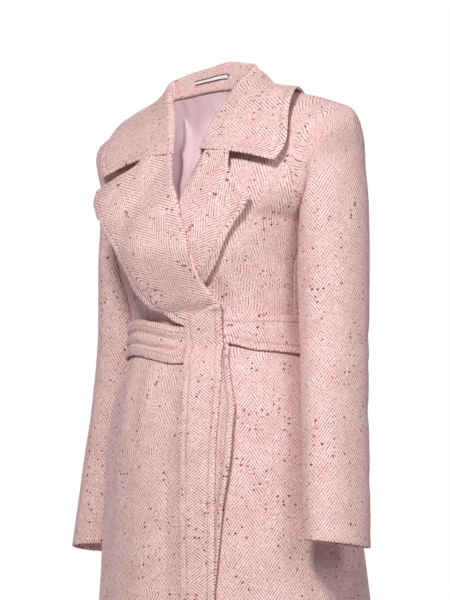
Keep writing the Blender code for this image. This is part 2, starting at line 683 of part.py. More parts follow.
def belt_rows(shares, table):
    """Levels across the belt's width at each share, and how far out it lies there."""
    width = np.linspace(-0.5, 0.5, BELT_ROWS)[:, None]
    ridges = np.abs(np.sin(BELT_RIDGES * np.pi * (width + 0.5)))
    if table is FRONT:
        level = BELT.at("level", shares) + BELT.at("width", shares) * width
        edge = front_share("right", level)
        height = lap_height(level, shares) * (1 - smooth_step(edge, edge + BELT_STEP, shares))
        crease = BELT.at("crease", shares) * ridges
    else:
        side = np.array([-1.0])
        level = BELT.at("level", side) + BELT.at("width", side) * width + 0 * shares
        height = 0 * level
        crease = BELT.at("crease", side) * smooth_step(REAR_CREASE, -1.0, shares) * ridges
    points, normals = skin(table, level, shares + 0 * level)
    inner = points + normals * (height + BELT_EASE)[..., None]
    return inner + normals * (FOLDED_WOOL + BELT_CREASE * crease)[..., None], inner


def add_belt():
    """The belt round the waist, on both fronts and the back. It creases along its length on the wearer's right."""
    front = belt_rows(np.linspace(-1, 1, BELT_COLUMNS)[None, :], FRONT)
    rear = belt_rows(np.linspace(1, -1, BELT_COLUMNS)[None, 1:-1], BACK)
    outer, inner = (np.concatenate(pair, axis=1) for pair in zip(front, rear))
    return add_wall("belt_band", outer, inner, TWEED, closed=True)


def on_right_front(level, x, height):
    """Points at a height over the right front, at a level and a distance from the centre."""
    points, normals = front_surface("right", level, share_at(level, x))
    return points + normals * height[..., None]


def add_front_end():
    """The belt's front end: it comes up behind the belt, folds over, and hangs down in front."""
    rise = np.linspace(0, 1, END_ROWS)[:, None] ** END_EASE
    across = np.linspace(0, 1, END_COLUMNS)[None, :]
    level = END_FOOT + (END_TOP + END_RISE * across - END_FOOT) * rise

    def mixed(name):
        left, right = FRONT_END.at("left_" + name, level), FRONT_END.at("right_" + name, level)
        return left + (right - left) * across

    inner = on_right_front(level, mixed("x"), mixed("height"))
    normals = grid_normals(inner, False)
    outer = inner + normals * FOLDED_WOOL
    up = unit(inner[-1] - inner[-2])
    outer_turn, inner_turn = turned_edge(inner[-1], -normals[-1], up, ROLL, FOLDED_WOOL)
    tails = [turn[:, -1] - up * END_TAIL for turn in (outer_turn, inner_turn)]
    inner = np.concatenate([inner, np.swapaxes(inner_turn, 0, 1)[1:], tails[1][None]])
    outer = np.concatenate([outer, np.swapaxes(outer_turn, 0, 1)[1:], tails[0][None]])
    return add_wall("belt_end_front", outer, inner, TWEED)


def belt_foot(x):
    """The level of the belt's lower edge on the front, at a distance from the centre."""
    share = share_at(BELT_LEVEL, x)
    return BELT.at("level", share) - BELT.at("width", share) / 2


def add_back_end():
    """The belt's other end, which hangs behind the first one and stands on edge beside it."""
    rise = np.linspace(0, 1, END_ROWS)[:, None]
    level = BACK_END_LEVELS[0] + (BACK_END_LEVELS[1] - BACK_END_LEVELS[0]) * rise
    free = BACK_END.at("right_x", level)
    bent = np.minimum(FRONT_END.at("right_x", level) + END_GAP, free - END_GAP)
    flat = np.linspace(0, 1, END_COLUMNS)[None, :]
    start = free - BACK_END_WIDTH
    x = np.concatenate([start + (bent - start) * flat, bent + (free - bent) * flat[:, 1:]], axis=1)
    ridge = BACK_END.at("ridge", level) * smooth_step(0, 1, (x - bent) / (free - bent))
    level = BACK_END_LEVELS[0] + (belt_foot(x) - 2 * END_GAP - BACK_END_LEVELS[0]) * rise
    points, normals = skin(FRONT, level, share_at(level, x))
    inner = points + normals * (WOOL + LAP + BELT_EASE + ridge)[..., None]
    outer = inner + grid_normals(inner, False) * FOLDED_WOOL
    return add_wall("belt_end_back", outer, inner, TWEED)


def add_lining():
    """The satin lining inside the back, on the back's own rows and columns, where the neck opening shows it."""
    face, normals = (grid[LEVELS >= LINING_FOOT, 1:-1] for grid in back_face())
    outer = face - normals * (WOOL + LINING_GAP)
    outer[-1] += (outer[-2] - outer[-1]) * LINING_SHORT
    return add_wall("lining", outer, outer - normals * SATIN, LILAC)


def add_label():
    """The bare label sewn on the collar's stand, a little to the wearer's right of the nape."""
    outer, normals = whole_collar_face()
    stations = COLLAR_STATIONS - 1 + np.array(LABEL_STATIONS)
    foot, head = outer[stations, 0], outer[stations, STAND_COLUMNS - 1]
    face = foot[:, None] + (head - foot)[:, None] * np.array(LABEL_RISE)[None, :, None]
    inwards = normals[stations, 1][:, None]
    inner = face - inwards * SEAM
    return add_wall("label", (inner - inwards * LABEL)[:, ::-1], inner[:, ::-1], WHITE)


def clear_scene():
    for obj in list(bpy.data.objects):
        bpy.data.objects.remove(obj, do_unlink=True)


def main():
    clear_scene()
    add_back()
    for side in ("right", "left"):
        add_front(side)
        add_sleeve(side)
        add_lapel(side)
    add_collar()
    add_belt()
    add_front_end()
    add_back_end()
    add_lining()
    add_label()


main()
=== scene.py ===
"""Dresses the wool wrap coat: every cut piece as a thin shell of herringbone tweed, satin or tape.

Metres, +Z up. The front faces -Y and +X is the wearer's left. The body is one smooth skin: each row of it
is a level, named by the height of its edge (side seam, then armhole), and runs from the centre, share 0, to
that edge, share 1 on the wearer's left and -1 on the right. Panels, and all that lies on them, are cut from
that skin and moved out along its normals.
"""

import logging
import math
from dataclasses import dataclass
from enum import Enum
from typing import Any, ClassVar, Sequence
import bpy
import numpy as np
from mathutils import Matrix, Vector


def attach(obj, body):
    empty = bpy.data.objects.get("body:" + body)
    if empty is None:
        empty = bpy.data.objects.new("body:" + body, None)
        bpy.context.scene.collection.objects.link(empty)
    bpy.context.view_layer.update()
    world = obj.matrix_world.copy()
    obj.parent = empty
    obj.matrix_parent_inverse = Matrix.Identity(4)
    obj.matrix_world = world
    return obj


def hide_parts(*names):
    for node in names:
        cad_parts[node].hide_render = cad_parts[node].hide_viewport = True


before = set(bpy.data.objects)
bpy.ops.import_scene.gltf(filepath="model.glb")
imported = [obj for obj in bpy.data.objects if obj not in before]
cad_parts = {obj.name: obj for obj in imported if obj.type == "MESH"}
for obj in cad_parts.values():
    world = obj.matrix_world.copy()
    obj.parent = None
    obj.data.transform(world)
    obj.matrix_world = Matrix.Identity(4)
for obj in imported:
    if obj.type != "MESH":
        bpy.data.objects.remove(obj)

LOG = logging.getLogger("coat")

Grid = np.ndarray
Socket = bpy.types.NodeSocket
Colour = tuple[float, float, float, float]
Band = tuple[float, float, float, float]  # the two limits of a smooth step, and the results at them

# Thicknesses, and the gaps between two cut edges and between two layers.
WOOL = 0.0025
FOLDED_WOOL = 0.0032
SATIN = 0.0011
SEAM = 0.0003
SEAM_GAP = 2 * SEAM
LAP = 0.0008
# Levels, the share at which a side seam lies, and the back's share that the neck takes.
HEM = -1.12
WAIST = -0.36
UNDERARM = -0.205
SHOULDER = -0.045
SIDE_SEAM = 1 - SEAM_GAP
NECK_SHARE = 0.32


class Side(Enum):
    """The wearer's two sides."""

    RIGHT = "right"
    LEFT = "left"


class Finish(Enum):
    """The record's material slots."""

    TWEED = "tweed"
    SATIN = "lining_satin"
    TAPE = "label_tape"


class Table:
    """Rows of named columns, read as smooth curves of the first column that never overshoot between rows."""

    def __init__(self, columns: str, rows: Sequence[Sequence[float]]) -> None:
        """Keeps the rows.

        Args:
            columns: The columns' names, parted by spaces.
            rows: The rows, with the first column rising.
        """
        self.values = dict(zip(columns.split(), np.array(rows, float).T))
        self.knots = self.values[columns.split()[0]]

    def at(self, column: str, where: Grid) -> Grid:
        """Reads one column: a cubic between knots, with harmonic means of the slopes as its tangents.

        Args:
            column: The column's name.
            where: Places in the first column's own units.

        Returns:
            The column's values there.
        """
        knots, values = self.knots, self.values[column]
        step = np.diff(knots)
        slope = np.diff(values) / step
        before, after = slope[:-1], slope[1:]
        same = before * after > 0
        inner = np.where(same, 2 * before * after / np.where(same, before + after, 1.0), 0.0)
        tangent = np.concatenate([slope[:1], inner, slope[-1:]])
        i = np.clip(np.searchsorted(knots, where, side="right") - 1, 0, len(step) - 1)
        t = np.clip((where - knots[i]) / step[i], 0, 1)
        rise = step[i] * (t * (1 - t) ** 2 * tangent[i] - t**2 * (1 - t) * tangent[i + 1])
        return (1 + 2 * t) * (1 - t) ** 2 * values[i] + t**2 * (3 - 2 * t) * values[i + 1] + rise


# The skirt and bodice up to the underarm: half width, where the side seam lies, and how far front and back
# reach.
SIDES = (
    # level, side_x, side_y, front_y, back_y
    (-1.120, 0.216, 0.040, -0.140, 0.242),
    (-0.900, 0.204, 0.040, -0.130, 0.236),
    (-0.700, 0.183, 0.038, -0.120, 0.220),
    (-0.600, 0.174, 0.035, -0.122, 0.202),
    (-0.520, 0.167, 0.031, -0.122, 0.178),
    (-0.460, 0.156, 0.027, -0.118, 0.154),
    (-0.410, 0.141, 0.021, -0.107, 0.130),
    (-0.375, 0.130, 0.017, -0.090, 0.116),
    (-0.330, 0.127, 0.014, -0.087, 0.110),
    (-0.300, 0.129, 0.012, -0.098, 0.110),
    (-0.270, 0.131, 0.010, -0.116, 0.112),
    (-0.240, 0.137, 0.014, -0.127, 0.114),
    (-0.205, 0.150, 0.030, -0.127, 0.115),
)
# From the underarm to the shoulder seam the edge is the armhole. The sweep is how far round the row turns,
# in degrees.
FRONT_YOKE = (
    # level, centre_z, edge_x, edge_y, centre_y, sweep
    (-0.205, -0.205, 0.150, 0.030, -0.127, 90),
    (-0.190, -0.188, 0.160, -0.018, -0.120, 76),
    (-0.165, -0.160, 0.167, -0.040, -0.107, 66),
    (-0.130, -0.118, 0.168, -0.047, -0.084, 58),
    (-0.092, -0.073, 0.176, -0.040, -0.060, 50),
    (-0.063, -0.034, 0.192, -0.015, -0.034, 40),
    (-0.045, -0.002, 0.205, 0.025, -0.006, 30),
)
BACK_YOKE = (
    # level, centre_z, edge_x, edge_y, centre_y, sweep
    (-0.205, -0.205, 0.150, 0.030, 0.115, 90),
    (-0.190, -0.186, 0.158, 0.062, 0.113, 74),
    (-0.160, -0.150, 0.163, 0.079, 0.107, 62),
    (-0.120, -0.104, 0.166, 0.083, 0.096, 52),
    (-0.085, -0.060, 0.176, 0.074, 0.078, 44),
    (-0.060, -0.023, 0.194, 0.050, 0.048, 38),
    (-0.045, -0.002, 0.205, 0.025, -0.006, 30),
)
# How far each front reaches past the centre: the roll line down to the belt, then the free edge.
FRONT_EDGES = Table(
    "level right_x left_x",
    (
        (-1.120, 0.085, -0.105),
        (-0.700, 0.080, -0.095),
        (-0.400, 0.078, -0.075),
        (-0.335, 0.074, -0.045),
        (-0.291, 0.058, -0.020),
        (-0.261, 0.054, -0.002),
        (-0.220, 0.046, 0.020),
        (-0.193, 0.035, 0.035),
        (-0.158, 0.009, 0.041),
        (-0.120, -0.019, 0.049),
        (-0.084, -0.041, 0.058),
        (-0.060, -0.059, 0.065),
        (-0.045, -0.078, 0.078),
    ),
)
# Where each lapel's outer edge lies on its front, from the tip down to the point where it stops turning,
# the level at which a line across it meets the roll line, and how far it stands off the front.
LAPELS = {
    Side.RIGHT: Table(
        "along roll_level level x lift",
        (
            (0.00, -0.122, -0.163, -0.112, 0.022),
            (0.12, -0.150, -0.183, -0.098, 0.028),
            (0.25, -0.178, -0.204, -0.079, 0.026),
            (0.42, -0.215, -0.240, -0.056, 0.019),
            (0.58, -0.248, -0.268, -0.036, 0.016),
            (0.72, -0.275, -0.296, -0.028, 0.013),
            (0.86, -0.300, -0.324, -0.010, 0.009),
            (0.95, -0.315, -0.341, 0.008, 0.006),
            (1.00, -0.326, -0.350, 0.026, 0.003),
        ),
    ),
    Side.LEFT: Table(
        "along roll_level level x lift",
        (
            (0.00, -0.126, -0.180, 0.126, 0.009),
            (0.15, -0.150, -0.192, 0.118, 0.009),
            (0.32, -0.178, -0.213, 0.105, 0.008),
            (0.45, -0.200, -0.228, 0.098, 0.007),
            (0.58, -0.222, -0.245, 0.091, 0.006),
            (0.70, -0.243, -0.264, 0.082, 0.004),
            (0.85, -0.270, -0.289, 0.060, 0.002),
            (1.00, -0.300, -0.305, 0.030, 0.001),
        ),
    ),
}
# The gorge and the notch: across the top of each lapel, from its roll line past the notch to its tip.
LAPEL_TOPS = {
    Side.RIGHT: Table(
        "across level x lift",
        (
            (0.00, -0.122, -0.010, 0.000),
            (0.40, -0.121, -0.047, 0.012),
            (0.52, -0.136, -0.057, 0.015),
            (0.75, -0.149, -0.080, 0.019),
            (1.00, -0.163, -0.112, 0.022),
        ),
    ),
    Side.LEFT: Table(
        "across level x lift",
        (
            (0.00, -0.126, 0.045, 0.000),
            (0.40, -0.127, 0.090, 0.005),
            (0.52, -0.147, 0.094, 0.006),
            (0.75, -0.165, 0.108, 0.008),
            (1.00, -0.180, 0.126, 0.009),
        ),
    ),
}
# The collar, from the middle of the nape, turn 0, to its front end at the gorge, turn 1: how much it folds
# over the front's edge instead of standing up.
COLLAR = Table(
    "turn fold",
    (
        (0.00, 0.00),
        (0.30, 0.00),
        (0.50, 0.05),
        (0.65, 0.30),
        (0.80, 0.65),
        (0.92, 0.92),
        (1.00, 1.00),
    ),
)
# How far its roll leans in, the height of its stand, how soon its fall drops (0 at once, 0.5 evenly) and
# how high it bows on the way, and where its outer edge lies.
COLLAR_SIDES = {
    Side.RIGHT: Table(
        "turn lean stand drop bow x y z",
        (
            (0.00, 0.000, 0.027, 0.22, 0.000, 0.000, 0.090, -0.058),
            (0.25, 0.000, 0.025, 0.26, 0.000, -0.080, 0.086, -0.055),
            (0.42, -0.002, 0.021, 0.50, 0.000, -0.126, 0.058, -0.042),
            (0.54, -0.003, 0.019, 0.56, 0.000, -0.145, 0.014, -0.026),
            (0.68, 0.000, 0.013, 0.56, 0.000, -0.156, -0.022, -0.044),
            (0.80, 0.000, 0.008, 0.50, 0.002, -0.160, -0.050, -0.073),
            (0.92, 0.000, 0.004, 0.48, 0.006, -0.152, -0.072, -0.103),
            (1.00, 0.000, 0.002, 0.50, 0.013, -0.128, -0.090, -0.126),
        ),
    ),
    Side.LEFT: Table(
        "turn lean stand drop bow x y z",
        (
            (0.00, 0.000, 0.027, 0.22, 0.000, 0.000, 0.090, -0.058),
            (0.12, 0.000, 0.033, 0.25, 0.000, 0.040, 0.089, -0.058),
            (0.25, 0.000, 0.031, 0.30, 0.000, 0.080, 0.086, -0.058),
            (0.42, -0.002, 0.027, 0.40, 0.000, 0.122, 0.058, -0.044),
            (0.54, -0.004, 0.025, 0.38, 0.000, 0.140, 0.014, -0.030),
            (0.68, -0.004, 0.015, 0.43, 0.000, 0.152, -0.018, -0.044),
            (0.80, -0.001, 0.008, 0.46, 0.000, 0.163, -0.043, -0.078),
            (0.93, 0.000, 0.004, 0.48, 0.000, 0.169, -0.055, -0.114),
            (0.97, 0.000, 0.003, 0.49, 0.000, 0.166, -0.062, -0.124),
            (1.00, 0.000, 0.002, 0.50, 0.000, 0.156, -0.069, -0.131),
        ),
    ),
}
# A sleeve, from the armhole down to the cuff: its outer and inner lines, its half depth, where its middle
# lies on each side, and how much each ring tips up at the front.
SLEEVE = Table(
    "along outer_x outer_z inner_x inner_z depth left_y right_y tip",
    (
        (0.00, 0.2090, -0.045, 0.1505, -0.2060, 0.058, 0.028, 0.028, 0.00),
        (0.03, 0.2110, -0.048, 0.1515, -0.2075, 0.059, 0.029, 0.035, 0.00),
        (0.08, 0.2125, -0.060, 0.1512, -0.2110, 0.060, 0.030, 0.044, 0.00),
        (0.15, 0.2150, -0.084, 0.1485, -0.2170, 0.060, 0.031, 0.050, 0.00),
        (0.24, 0.2195, -0.120, 0.1440, -0.2290, 0.060, 0.032, 0.048, 0.00),
        (0.34, 0.2240, -0.170, 0.1390, -0.2500, 0.059, 0.034, 0.043, 0.00),
        (0.45, 0.2245, -0.240, 0.1350, -0.2850, 0.058, 0.036, 0.038, 0.00),
        (0.58, 0.2240, -0.330, 0.1385, -0.3450, 0.057, 0.035, 0.038, 0.02),
        (0.72, 0.2320, -0.432, 0.1560, -0.4380, 0.059, 0.017, 0.040, 0.05),
        (0.86, 0.2475, -0.540, 0.1750, -0.5400, 0.059, -0.005, 0.037, 0.08),
        (1.00, 0.2590, -0.6475, 0.1860, -0.6425, 0.057, -0.019, 0.027, 0.08),
    ),
)
# The belt on the front: how high its middle runs and how wide it lies, and how strongly it creases along
# its length.
BELT = Table(
    "share level width crease",
    (
        (-1.00, -0.3600, 0.051, 0.4),
        (-0.33, -0.3595, 0.051, 1.0),
        (-0.06, -0.3705, 0.052, 1.0),
        (0.03, -0.3765, 0.052, 0.8),
        (0.10, -0.3775, 0.051, 0.2),
        (0.20, -0.3680, 0.044, 0.0),
        (0.35, -0.3555, 0.037, 0.0),
        (0.62, -0.3605, 0.047, 0.0),
        (1.00, -0.3600, 0.051, 0.0),
    ),
)
# The end that comes over the belt and hangs in front, by its two edges, and its height over the right front.
FRONT_END = Table(
    "level left_x right_x left_height right_height",
    (
        (-0.850, 0.044, 0.088, 0.0066, 0.0066),
        (-0.700, 0.044, 0.088, 0.0066, 0.0066),
        (-0.560, 0.044, 0.088, 0.0068, 0.0066),
        (-0.480, 0.044, 0.089, 0.0072, 0.0066),
        (-0.430, 0.042, 0.087, 0.0076, 0.0068),
        (-0.390, 0.034, 0.079, 0.0090, 0.0078),
        (-0.365, 0.031, 0.076, 0.0122, 0.0112),
        (-0.345, 0.030, 0.075, 0.0165, 0.0160),
    ),
)
# The other end, by its free edge, and how far that edge stands off the left front.
BACK_END = Table(
    "level right_x ridge",
    (
        (-0.800, 0.084, 0.0000),
        (-0.713, 0.087, 0.0000),
        (-0.640, 0.094, 0.0020),
        (-0.592, 0.098, 0.0045),
        (-0.508, 0.106, 0.0075),
        (-0.462, 0.106, 0.0080),
        (-0.426, 0.098, 0.0060),
        (-0.377, 0.082, 0.0020),
    ),
)

TINY = 1e-12
SLOPE_STEP = 1e-3  # how far apart two points of the skin lie to measure its slope
ENDS = np.array([0.0, 1.0])


def smooth_step(low: Any, high: Any, where: Any) -> Grid:
    """0 at the low end, 1 at the high end, and level at both: 3t^2 - 2t^3."""
    t = np.clip((where - low) / (high - low), 0, 1)
    return t * t * (3 - 2 * t)


def unit(vectors: Grid) -> Grid:
    """Vectors brought to a length of 1."""
    return vectors / np.maximum(np.linalg.norm(vectors, axis=-1, keepdims=True), TINY)


def wrapped(grid: Grid) -> Grid:
    """A closed grid with its first column once more after its last one."""
    return np.concatenate([grid, grid[:, :1]], axis=1)


def grid_normals(points: Grid, closed: bool = False) -> Grid:
    """Normals of a grid, across the differences between neighbours along its two ways.

    Args:
        points: Rows by columns by 3.
        closed: Whether the last column joins the first.

    Returns:
        Unit normals, one for each point.
    """
    if closed:
        along = np.roll(points, -1, axis=1) - np.roll(points, 1, axis=1)
    else:
        along = np.gradient(points, axis=1)
    return unit(np.cross(along, np.gradient(points, axis=0)))


def arc_lengths(points: Grid, axis: int, origin: int = 0) -> Grid:
    """Running length of a grid's lines along one way, 0 at one row or column.

    Args:
        points: Rows by columns by 3.
        axis: 0 to run down the rows, 1 to run along the columns.
        origin: The row or column at which the length is 0.

    Returns:
        Signed lengths, one for each point.
    """
    steps = np.linalg.norm(np.diff(points, axis=axis), axis=-1)
    total = np.cumsum(steps, axis=axis)
    total = np.concatenate([np.zeros_like(np.take(total, [0], axis=axis)), total], axis=axis)
    return total - np.take(total, [origin], axis=axis)


def both_lengths(points: Grid) -> tuple[Grid, Grid]:
    """Running lengths of a grid along its columns and down its rows."""
    return arc_lengths(points, 1), arc_lengths(points, 0)


@dataclass(frozen=True)
class Crease:
    """A soft trough (depth above 0) or ridge (below 0) along a line on a piece's chart, in metres."""

    start: tuple[float, float]
    end: tuple[float, float]
    width: float
    depth: float

    FADE: ClassVar[float] = 0.35  # the share of its length in which each end fades
    END_DEPTH: ClassVar[float] = 0.25  # the share of its depth left at its ends
    END_REACH: ClassVar[float] = 1.6  # how far it runs on past its ends, in widths

    def height(self, across: Grid, along: Grid) -> Grid:
        """Minus depth times exp(-(d/width)^2), where d is the distance from the line, fading at its ends.

        Args:
            across: The chart's first coordinate of each point.
            along: Its second one.

        Returns:
            How far each point moves out.
        """
        first, last = np.array(self.start), np.array(self.end)
        way = last - first
        length = float(np.hypot(*way))
        way = way / length
        run = (across - first[0]) * way[0] + (along - first[1]) * way[1]
        aside = (across - first[0]) * way[1] - (along - first[1]) * way[0]
        beyond = np.maximum(np.maximum(-run, run - length), 0) / (self.END_REACH * self.width)
        inside = np.clip(np.minimum(run, length - run) / (self.FADE * length), 0, 1)
        taper = self.END_DEPTH + (1 - self.END_DEPTH) * np.sqrt(inside)
        return -self.depth * taper * np.exp(-((aside / self.width) ** 2) - beyond**2)


def creased(outer: Grid, normals: Grid, chart: tuple[Grid, Grid], creases: Sequence[Crease]) -> Grid:
    """Points moved along their normals by the sum of the creases on their chart."""
    height = sum(crease.height(*chart) for crease in creases)
    return outer + normals * height[..., None]


class Half:
    """One half of the skin, front or back. Below the underarm both halves share one side line."""

    COLUMNS = "level centre_z edge_x edge_y centre_y sweep"
    SIDE_SWEEP = 90

    def __init__(self, reach_column: int, yoke: Sequence[Sequence[float]]) -> None:
        """Reads the half's tables.

        Args:
            reach_column: The column of SIDES that says how far this half reaches.
            yoke: The rows above the underarm.
        """
        skirt = [(row[0], row[0], row[1], row[2], row[reach_column], self.SIDE_SWEEP) for row in SIDES]
        self.skirt, self.yoke = Table(self.COLUMNS, skirt), Table(self.COLUMNS, yoke)

    def at(self, column: str, level: Grid) -> Grid:
        """One column's values at these levels."""
        return np.where(level < UNDERARM, self.skirt.at(column, level), self.yoke.at(column, level))


class Skin:
    """The coat's body form, from which every panel is cut."""

    FRONT = Half(3, FRONT_YOKE)
    BACK = Half(4, BACK_YOKE)
    ROUNDING = 1.5  # how late a row climbs towards its centre
    SQUARENESS = 0.84
    SEAM_BLEND = 0.015  # the stretch of levels in which two halves' normals become one
    SIDE_BLEND = 0.93  # the share at which they start to, at the side seam
    LAPEL_LAP = 0.0094
    LAPEL_LAP_LEVELS = (-0.345, -0.300)
    LAP_RAMP = (0.24, 0.05)
    NECK_DIP = 0.0010
    NECK_DIP_SHARE = 0.4

    @classmethod
    def point(cls, half: Half, level: Grid, share: Grid) -> Grid:
        """Points of the skin. A row is a squared ellipse between its edges, and climbs towards its centre.

        x = sign(share) edge_x sin(turned)^q / sin(sweep)^q and y runs from edge_y to centre_y with
        cos(turned)^q, where turned = |share| sweep and q is the squareness.

        Args:
            half: Front or back.
            level: Levels of the points.
            share: Shares of the points.

        Returns:
            The points.
        """
        sweep = np.radians(half.at("sweep", level))
        turned = np.abs(share) * sweep
        reach = np.sin(turned) ** cls.SQUARENESS / np.sin(sweep) ** cls.SQUARENESS
        last = np.maximum(np.cos(sweep), 0) ** cls.SQUARENESS
        depth = (np.maximum(np.cos(turned), 0) ** cls.SQUARENESS - last) / (1 - last)
        edge_y, centre_z = half.at("edge_y", level), half.at("centre_z", level)
        x = np.sign(share) * half.at("edge_x", level) * reach
        y = edge_y + (half.at("centre_y", level) - edge_y) * depth
        z = centre_z + (level - centre_z) * np.abs(share) ** cls.ROUNDING
        return np.stack([x, y, z], axis=-1)

    @classmethod
    def bare_normals(cls, half: Half, level: Grid, share: Grid) -> Grid:
        """The outward normals of one half by itself, square to small steps up and across.

        Args:
            half: Front or back.
            level: Levels of the points.
            share: Shares of the points.

        Returns:
            Unit normals.
        """
        up = cls.point(half, np.minimum(level + SLOPE_STEP, SHOULDER), share)
        up = up - cls.point(half, np.maximum(level - SLOPE_STEP, HEM), share)
        low, high = np.maximum(share - SLOPE_STEP, -1), np.minimum(share + SLOPE_STEP, 1)
        across = cls.point(half, level, high) - cls.point(half, level, low)
        return unit(np.cross(across, up) if half is cls.FRONT else np.cross(up, across))

    @classmethod
    def at(cls, half: Half, level: Any, share: Any) -> tuple[Grid, Grid]:
        """Points of the skin and its outward normals, which both halves share at the side and shoulder seams.

        Args:
            half: Front or back.
            level: Levels of the points.
            share: Shares of the points.

        Returns:
            Points and normals.
        """
        level, share = np.broadcast_arrays(np.asarray(level, float), np.asarray(share, float))
        below = smooth_step(UNDERARM + cls.SEAM_BLEND, UNDERARM, level)
        at_side = smooth_step(cls.SIDE_BLEND, 1.0, np.abs(share)) * below
        at_shoulder = smooth_step(SHOULDER - cls.SEAM_BLEND, SHOULDER, level)
        other = cls.bare_normals(cls.BACK if half is cls.FRONT else cls.FRONT, level, share)
        mixed = np.maximum(at_side, at_shoulder)[..., None] / 2
        normals = unit((1 - mixed) * cls.bare_normals(half, level, share) + mixed * other)
        return cls.point(half, level, share), normals

    @classmethod
    def share_at(cls, level: Grid, x: Grid) -> Grid:
        """The share at which a front row reaches this x: the formula of point, turned round.

        Args:
            level: Levels of the rows.
            x: Distances from the centre, the wearer's right below 0.

        Returns:
            Shares.
        """
        sweep = np.radians(cls.FRONT.at("sweep", level))
        reach = np.abs(x) / cls.FRONT.at("edge_x", level) * np.sin(sweep) ** cls.SQUARENESS
        return np.sign(x) * np.arcsin(np.clip(reach ** (1 / cls.SQUARENESS), 0, 1)) / sweep

    @classmethod
    def front_share(cls, side: Side, level: Grid) -> Grid:
        """The share at which a front's inner edge lies."""
        return cls.share_at(level, FRONT_EDGES.at(side.value + "_x", level))

    @classmethod
    def lap_height(cls, level: Grid, share: Grid) -> Grid:
        """How far the right front stands off the skin, to clear the left front and the left lapel.

        Args:
            level: Levels of the points.
            share: Shares of the points.

        Returns:
            Heights, ramped up past the left front's edge.
        """
        under = cls.front_share(Side.LEFT, level)
        lapel = cls.LAPEL_LAP * smooth_step(*cls.LAPEL_LAP_LEVELS, level)
        return (WOOL + LAP + lapel) * smooth_step(under - cls.LAP_RAMP[0], under - cls.LAP_RAMP[1], share)

    @classmethod
    def front(cls, side: Side, level: Grid, share: Grid) -> tuple[Grid, Grid]:
        """The outer face of a front, and its normals.

        Args:
            side: Which front.
            level: Levels of the points.
            share: Shares of the points.

        Returns:
            Points and normals.
        """
        points, normals = cls.at(cls.FRONT, level, share)
        if side is Side.RIGHT:
            points = points + normals * cls.lap_height(level, share)[..., None]
        return points, normals

    @classmethod
    def neck_level(cls, share: Grid) -> Grid:
        """The level at which the back ends: the shoulder seam, and lower across the neck."""
        dip = smooth_step(NECK_SHARE, cls.NECK_DIP_SHARE * NECK_SHARE, np.abs(share))
        return SHOULDER - SEAM - cls.NECK_DIP * dip

    @classmethod
    def back(cls, rise: Grid, share: Grid) -> tuple[Grid, Grid]:
        """The outer face of the back and its normals, its rows spread from the hem to the neck level.

        Args:
            rise: Heights of the points, 0 at the hem and 1 at the neck level.
            share: Shares of the points.

        Returns:
            Points and normals.
        """
        return cls.at(cls.BACK, HEM + rise * (cls.neck_level(share) - HEM), share)


def add_object(name: str, data: Any) -> bpy.types.Object:
    """A new object in the scene.

    Args:
        name: The object's name.
        data: Its mesh, light or camera.

    Returns:
        The object, at the origin.
    """
    made = bpy.data.objects.new(name, data)
    bpy.context.scene.collection.objects.link(made)
    return made


